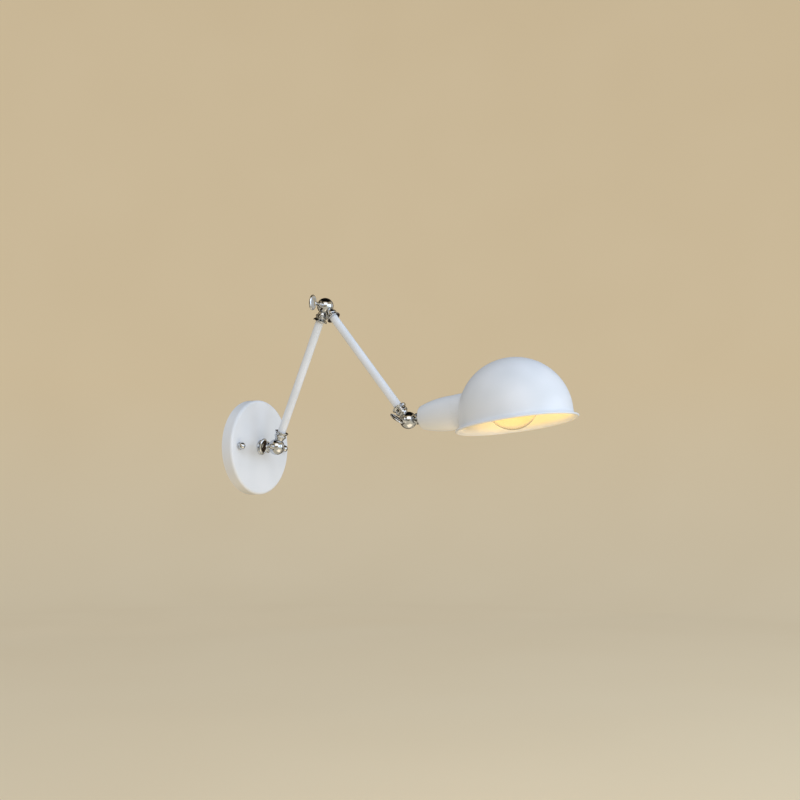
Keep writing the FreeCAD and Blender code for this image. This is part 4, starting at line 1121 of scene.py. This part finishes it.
class LAMP_OT_shade(bpy.types.Operator):
    """Make the spun bowl shade with its flared, rolled rim and the spout that meets the cup"""

    bl_idname = "lamp.shade"
    bl_label = "Bowl shade"

    def execute(self, context):
        size = settings().head
        tip = Matrix.Rotation(-math.pi / 2 - size.bowl_pitch, 4, "X")
        place = Matrix.Translation((0.0, -size.bowl_drop, size.bowl_reach)) @ tip
        bowl = turned("shade_bowl_painted", spun_bowl(size), place, segments=192)

        start = size.cup_end + GAP
        reach = start + size.bowl_radius / 2
        outline = filleted([(0.0, start), (size.spout_radius, start, 0.5 * MM), (size.spout_radius, reach),
                            (0.0, reach)])
        spout = turned("spout", outline, segments=128)
        # The spout ends in the middle of the bowl's wall
        core = size.bowl_radius - size.bowl_wall / 2
        outline = [(0.0, -core)] + arc((0, 0), core, -NEAR_POLE, NEAR_POLE, 88) + [(0.0, core)]
        combined(spout, turned("core", outline, place, segments=192), "DIFFERENCE")
        combined(bowl, spout, "UNION")
        for radius, floor in ((size.spout_radius - size.spout_wall, start + size.spout_floor),
                              (size.holder_radius + 2 * FIT, start - MM)):
            outline = [(0.0, floor), (radius, floor), (radius, reach), (0.0, reach)]
            combined(bowl, turned("bore", outline, segments=128), "DIFFERENCE")
        bowl.data.transform(FRAMES["head"])
        stand_for("shade_bowl", smoothed(bowl, sharp=36.0), PAINT)
        return {"FINISHED"}


def bulb_globe(size):
    """The glass: a neck that widens to the globe along an arc that touches both, with an even wall."""
    run = size.centre - size.waist
    slack = size.radius - size.neck_radius
    bow = (run ** 2 + size.neck_radius ** 2 - size.radius ** 2) / (2 * slack)
    side = (size.neck_radius + bow, size.waist)
    touch = math.degrees(math.atan2(-run, side[0]))
    middle, inner = (0, size.centre), size.radius - size.wall
    outline = [(size.neck_radius - size.wall, size.neck_start), (size.neck_radius, size.neck_start)]
    outline += arc(side, bow, 180, 180 + touch, 20)
    outline += arc(middle, size.radius, touch, NEAR_POLE, 56)[1:]
    outline += [(0.0, size.centre + size.radius), (0.0, size.centre + inner)]
    outline += arc(middle, inner, NEAR_POLE, touch, 56)
    outline += arc(side, bow + size.wall, 180 + touch, 180, 20)[1:]
    fit("bulb_glass", "bulb_globe", outline, "head", GLASS, segments=128)


def screw_cap(size):
    """The bulb's cap: thin sheet with a thread rolled into it, drawn in at its foot."""
    start, end, outer = size.cap_start, size.cap_end, size.cap_radius
    inner = outer - size.cap_wall
    foot = start + size.cap_foot_height
    outline = filleted([
        (size.cap_mouth, start), (size.cap_foot, start, 0.6 * MM), (outer, foot, 0.8 * MM),
        (outer, end, 0.3 * MM), (inner, end), (inner, foot + 0.3 * MM),
        (size.cap_mouth, start + size.cap_wall)])
    outline = finer(outline, foot + MM, end - MM, steps=90)
    winding = thread(foot, end - size.cap_plain, size.cap_pitch, size.cap_thread, outer)
    fit("bulb_cap", "bulb_cap_rolled", outline, "head", ALUMINIUM, ripple=winding)


def filament(size):
    """The coiled wire between the leads."""
    coil = grown("bulb_filament_coil", coil_tree(), arc=size.filament_arc, coil=size.filament_coil,
                 wire=size.filament_wire, turns=size.filament_turns,
                 material=bpy.data.materials[TUNGSTEN])
    coil.data.transform(FRAMES["head"] @ Matrix.Translation((0.0, 0.0, size.filament_place)))
    stand_for("bulb_filament", smoothed(coil), TUNGSTEN)


class LAMP_OT_bulb(bpy.types.Operator):
    """Make the bulb's glass, its screw cap and its glowing filament"""

    bl_idname = "lamp.bulb"
    bl_label = "Bulb"

    def execute(self, context):
        size = settings().bulb
        bulb_globe(size)
        screw_cap(size)
        filament(size)
        return {"FINISHED"}


# Cards that the chrome mirrors: turn to the right of the camera's look and rise, both in degrees, distance
# from the lamp, width and height in metres, and colour
CARDS = (
    ("card_above", 0, 84, 1.2, 1.8, 1.8, "Black card"),
    ("card_behind", -15, 20, 1.4, 3.0, 1.9, "Brown card"),
    ("card_left", -109, 6, 1.6, 1.1, 1.8, "Black card"),
    ("card_low_right", 68, -18, 1.3, 0.8, 0.42, "Brown card"),
    ("card_low_left", -95, -38, 0.7, 1.0, 0.5, "Brown card"),
    ("card_low_behind", 0, -40, 0.68, 1.3, 0.5, "Brown card"),
    ("card_camera", 188, -5, 1.3, 0.9, 0.22, "Black card"),
    ("card_right", 54, 15, 1.36, 0.5, 0.34, "White card"),
)


def around(turn, rise, reach):
    """A place round the lamp: turned to the right of the camera's look, raised, and so far away."""
    level = reach * math.cos(math.radians(rise))
    heading = settings().stage.camera_yaw + math.radians(turn)
    return LAMP_MIDDLE + Vector((level * math.sin(heading), level * math.cos(heading),
                                 reach * math.sin(math.radians(rise))))


def towards(ahead):
    """The turn of a camera, a light or a card that looks ahead."""
    return ahead.to_track_quat("-Z", "Y")


def area_light(name, place, target, width, height, watts, tint):
    """A soft rectangular light that looks at a target."""
    light = bpy.data.lights.new(name, "AREA")
    light.shape = "RECTANGLE"
    light.size = width
    light.size_y = height
    light.energy = watts
    light.color = linear(tint)[:3]
    obj = linked(name, light)
    obj.visible_camera = False
    obj.location = place
    obj.rotation_euler = towards(target - place).to_euler()
    return obj


def card(name, place, width, height, material):
    """A thin card that faces the lamp and that only reflections see."""
    corner = Vector((width / 2, height / 2, 2 * MM))
    face = towards(LAMP_MIDDLE - place).to_matrix().to_4x4()
    obj = block(name, -corner, corner, Matrix.Translation(place) @ face)
    coat(obj, material)
    obj.visible_camera = False
    obj.visible_diffuse = False
    obj.visible_shadow = False
    obj.visible_transmission = False
    return obj


def studio_sweep(low):
    """Floor, wall and ceiling in one round sweep, which the even light of the room passes."""
    flat, bend, rise, dome, skin = 2.0, 0.8, 2.6, 2.0, 0.05
    wall, spring = flat + bend, low + rise
    top = spring + dome
    outline = [(0.0, low)] + arc((flat, low + bend), bend, -90, 0, 24)
    outline += arc((wall - dome, spring), dome, 0, 90, 24) + [(0.0, top), (0.0, top + skin)]
    outline += [(wall + skin, top + skin), (wall + skin, low - skin), (0.0, low - skin)]
    sweep = turned("studio_sweep", outline)
    coat(sweep, PAPER)
    smoothed(sweep)
    sweep.visible_diffuse = False
    sweep.visible_shadow = False
    return sweep


def studio_air(level):
    """The even light: cool from the room above, and warm back from the paper below."""
    world = bpy.data.worlds.new("Studio air")
    world.use_nodes = True
    tree = world.node_tree
    tree.nodes.clear()
    heading = add_node(tree, "ShaderNodeTexCoord").outputs["Generated"]
    height = add_node(tree, "ShaderNodeSeparateXYZ", {"Vector": heading}).outputs["Z"]
    share = add_node(tree, "ShaderNodeMapRange", {"Value": height, "From Min": -0.6, "From Max": 0.4})
    tone = add_node(tree, "ShaderNodeMix", {
        "Factor": share.outputs["Result"], "A": linear("#E6D3AF"), "B": linear("#D7DADF")},
        data_type="RGBA")
    air = add_node(tree, "ShaderNodeBackground", {"Color": tone.outputs["Result"], "Strength": level})
    add_node(tree, "ShaderNodeOutputWorld", {"Surface": air.outputs["Background"]})
    return world


def photo_camera(stage):
    """The camera at the photograph's viewing angle."""
    view = bpy.data.cameras.new("photo_camera")
    view.lens = stage.lens
    view.sensor_width = stage.sensor
    view.clip_start = 10 * MM
    level = math.cos(stage.camera_pitch)
    ahead = Vector((math.sin(stage.camera_yaw) * level, math.cos(stage.camera_yaw) * level,
                    math.sin(stage.camera_pitch)))
    camera = linked("photo_camera", view)
    camera.location = stage.camera_place
    camera.rotation_euler = towards(ahead).to_euler()
    return camera


def bulb_light(watts, tint, bulb):
    """The light of the bulb, just outside the glass, so that the glass throws no shadow of its own."""
    glow = bpy.data.lights.new("bulb_light", "POINT")
    glow.energy = watts
    glow.color = linear(tint)[:3]
    glow.shadow_soft_size = bulb.radius + MM
    glow.use_soft_falloff = False
    burning = linked("bulb_light", glow)
    burning.location = FRAMES["head"] @ Vector((0.0, 0.0, bulb.centre))
    burning.visible_camera = False
    burning.visible_glossy = False
    burning.visible_transmission = False
    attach(burning, "bulb")


class LAMP_OT_stage(bpy.types.Operator):
    """Make the studio: floor and backdrop in one sweep, lights, cards and camera"""

    bl_idname = "lamp.stage"
    bl_label = "Stage"

    def execute(self, context):
        stage = settings().stage
        floor_paper(stage)
        plain_card("Black card", ("#0B0B0B", "#151412"))
        plain_card("Brown card", ("#4A3C2E", "#40342A"))
        plain_card("White card", ("#F4F8FC", "#EEF4FA"))
        sweep = studio_sweep(stage.floor_height)
        key = area_light("window_light", around(turn=117, rise=9, reach=1.9), LAMP_MIDDLE,
                         width=2.4, height=1.1, watts=stage.key_power, tint="#C9E2FF")
        fill = area_light("fill_light", around(turn=172, rise=30, reach=1.75), LAMP_MIDDLE,
                          width=1.5, height=1.1, watts=stage.fill_power, tint="#EEF4FC")
        # What the bulb throws down comes back up to the rim as a soft warm light
        bounce = area_light("bounce_light", SHADE_MOUTH - Vector((0.0, 0.0, 0.34)), SHADE_MOUTH,
                            width=0.4, height=0.4, watts=stage.bounce_power, tint="#FFEACB")
        cards = [card(name, around(turn, rise, reach), width, height, material)
                 for name, turn, rise, reach, width, height, material in CARDS]
        camera = photo_camera(stage)
        bulb_light(stage.bulb_power, settings().finish.glow, settings().bulb)
        context.scene.world = studio_air(stage.world_level)
        context.scene.camera = camera
        context.scene.view_settings.view_transform = "Standard"
        return {"FINISHED"}


STEPS = (LAMP_OT_finishes, LAMP_OT_fixings, LAMP_OT_knuckles, LAMP_OT_collars, LAMP_OT_wings,
         LAMP_OT_head, LAMP_OT_shade, LAMP_OT_bulb, LAMP_OT_stage)


class LAMP_PT_panel(bpy.types.Panel):
    """The lamp's steps, in the order in which they run, and its settings"""

    bl_label = "Wall lamp"
    bl_idname = "LAMP_PT_panel"
    bl_space_type = "VIEW_3D"
    bl_region_type = "UI"
    bl_category = "Wall lamp"

    def draw(self, context):
        for step in STEPS:
            self.layout.operator(step.bl_idname)
        for group in LampSettings.__annotations__:
            box = self.layout.box()
            box.label(text=group.title())
            sizes = getattr(settings(), group)
            for name in type(sizes).__annotations__:
                box.prop(sizes, name)


CLASSES = (FixingSizes, KnuckleSizes, HeadSizes, BulbSizes, Finishes, StageSettings, LampSettings,
           *STEPS, LAMP_PT_panel)


def register():
    """Make the add-on's classes and settings known to Blender."""
    for item in CLASSES:
        bpy.utils.register_class(item)
    bpy.types.Scene.wall_lamp = PointerProperty(type=LampSettings)


def unregister():
    """Take the add-on's classes and settings away again."""
    del bpy.types.Scene.wall_lamp
    for item in reversed(CLASSES):
        bpy.utils.unregister_class(item)


def main():
    """Dress the lamp step by step."""
    register()
    for step in STEPS:
        group, name = step.bl_idname.split(".")
        getattr(getattr(bpy.ops, group), name)()


if __name__ == "__main__":
    main()
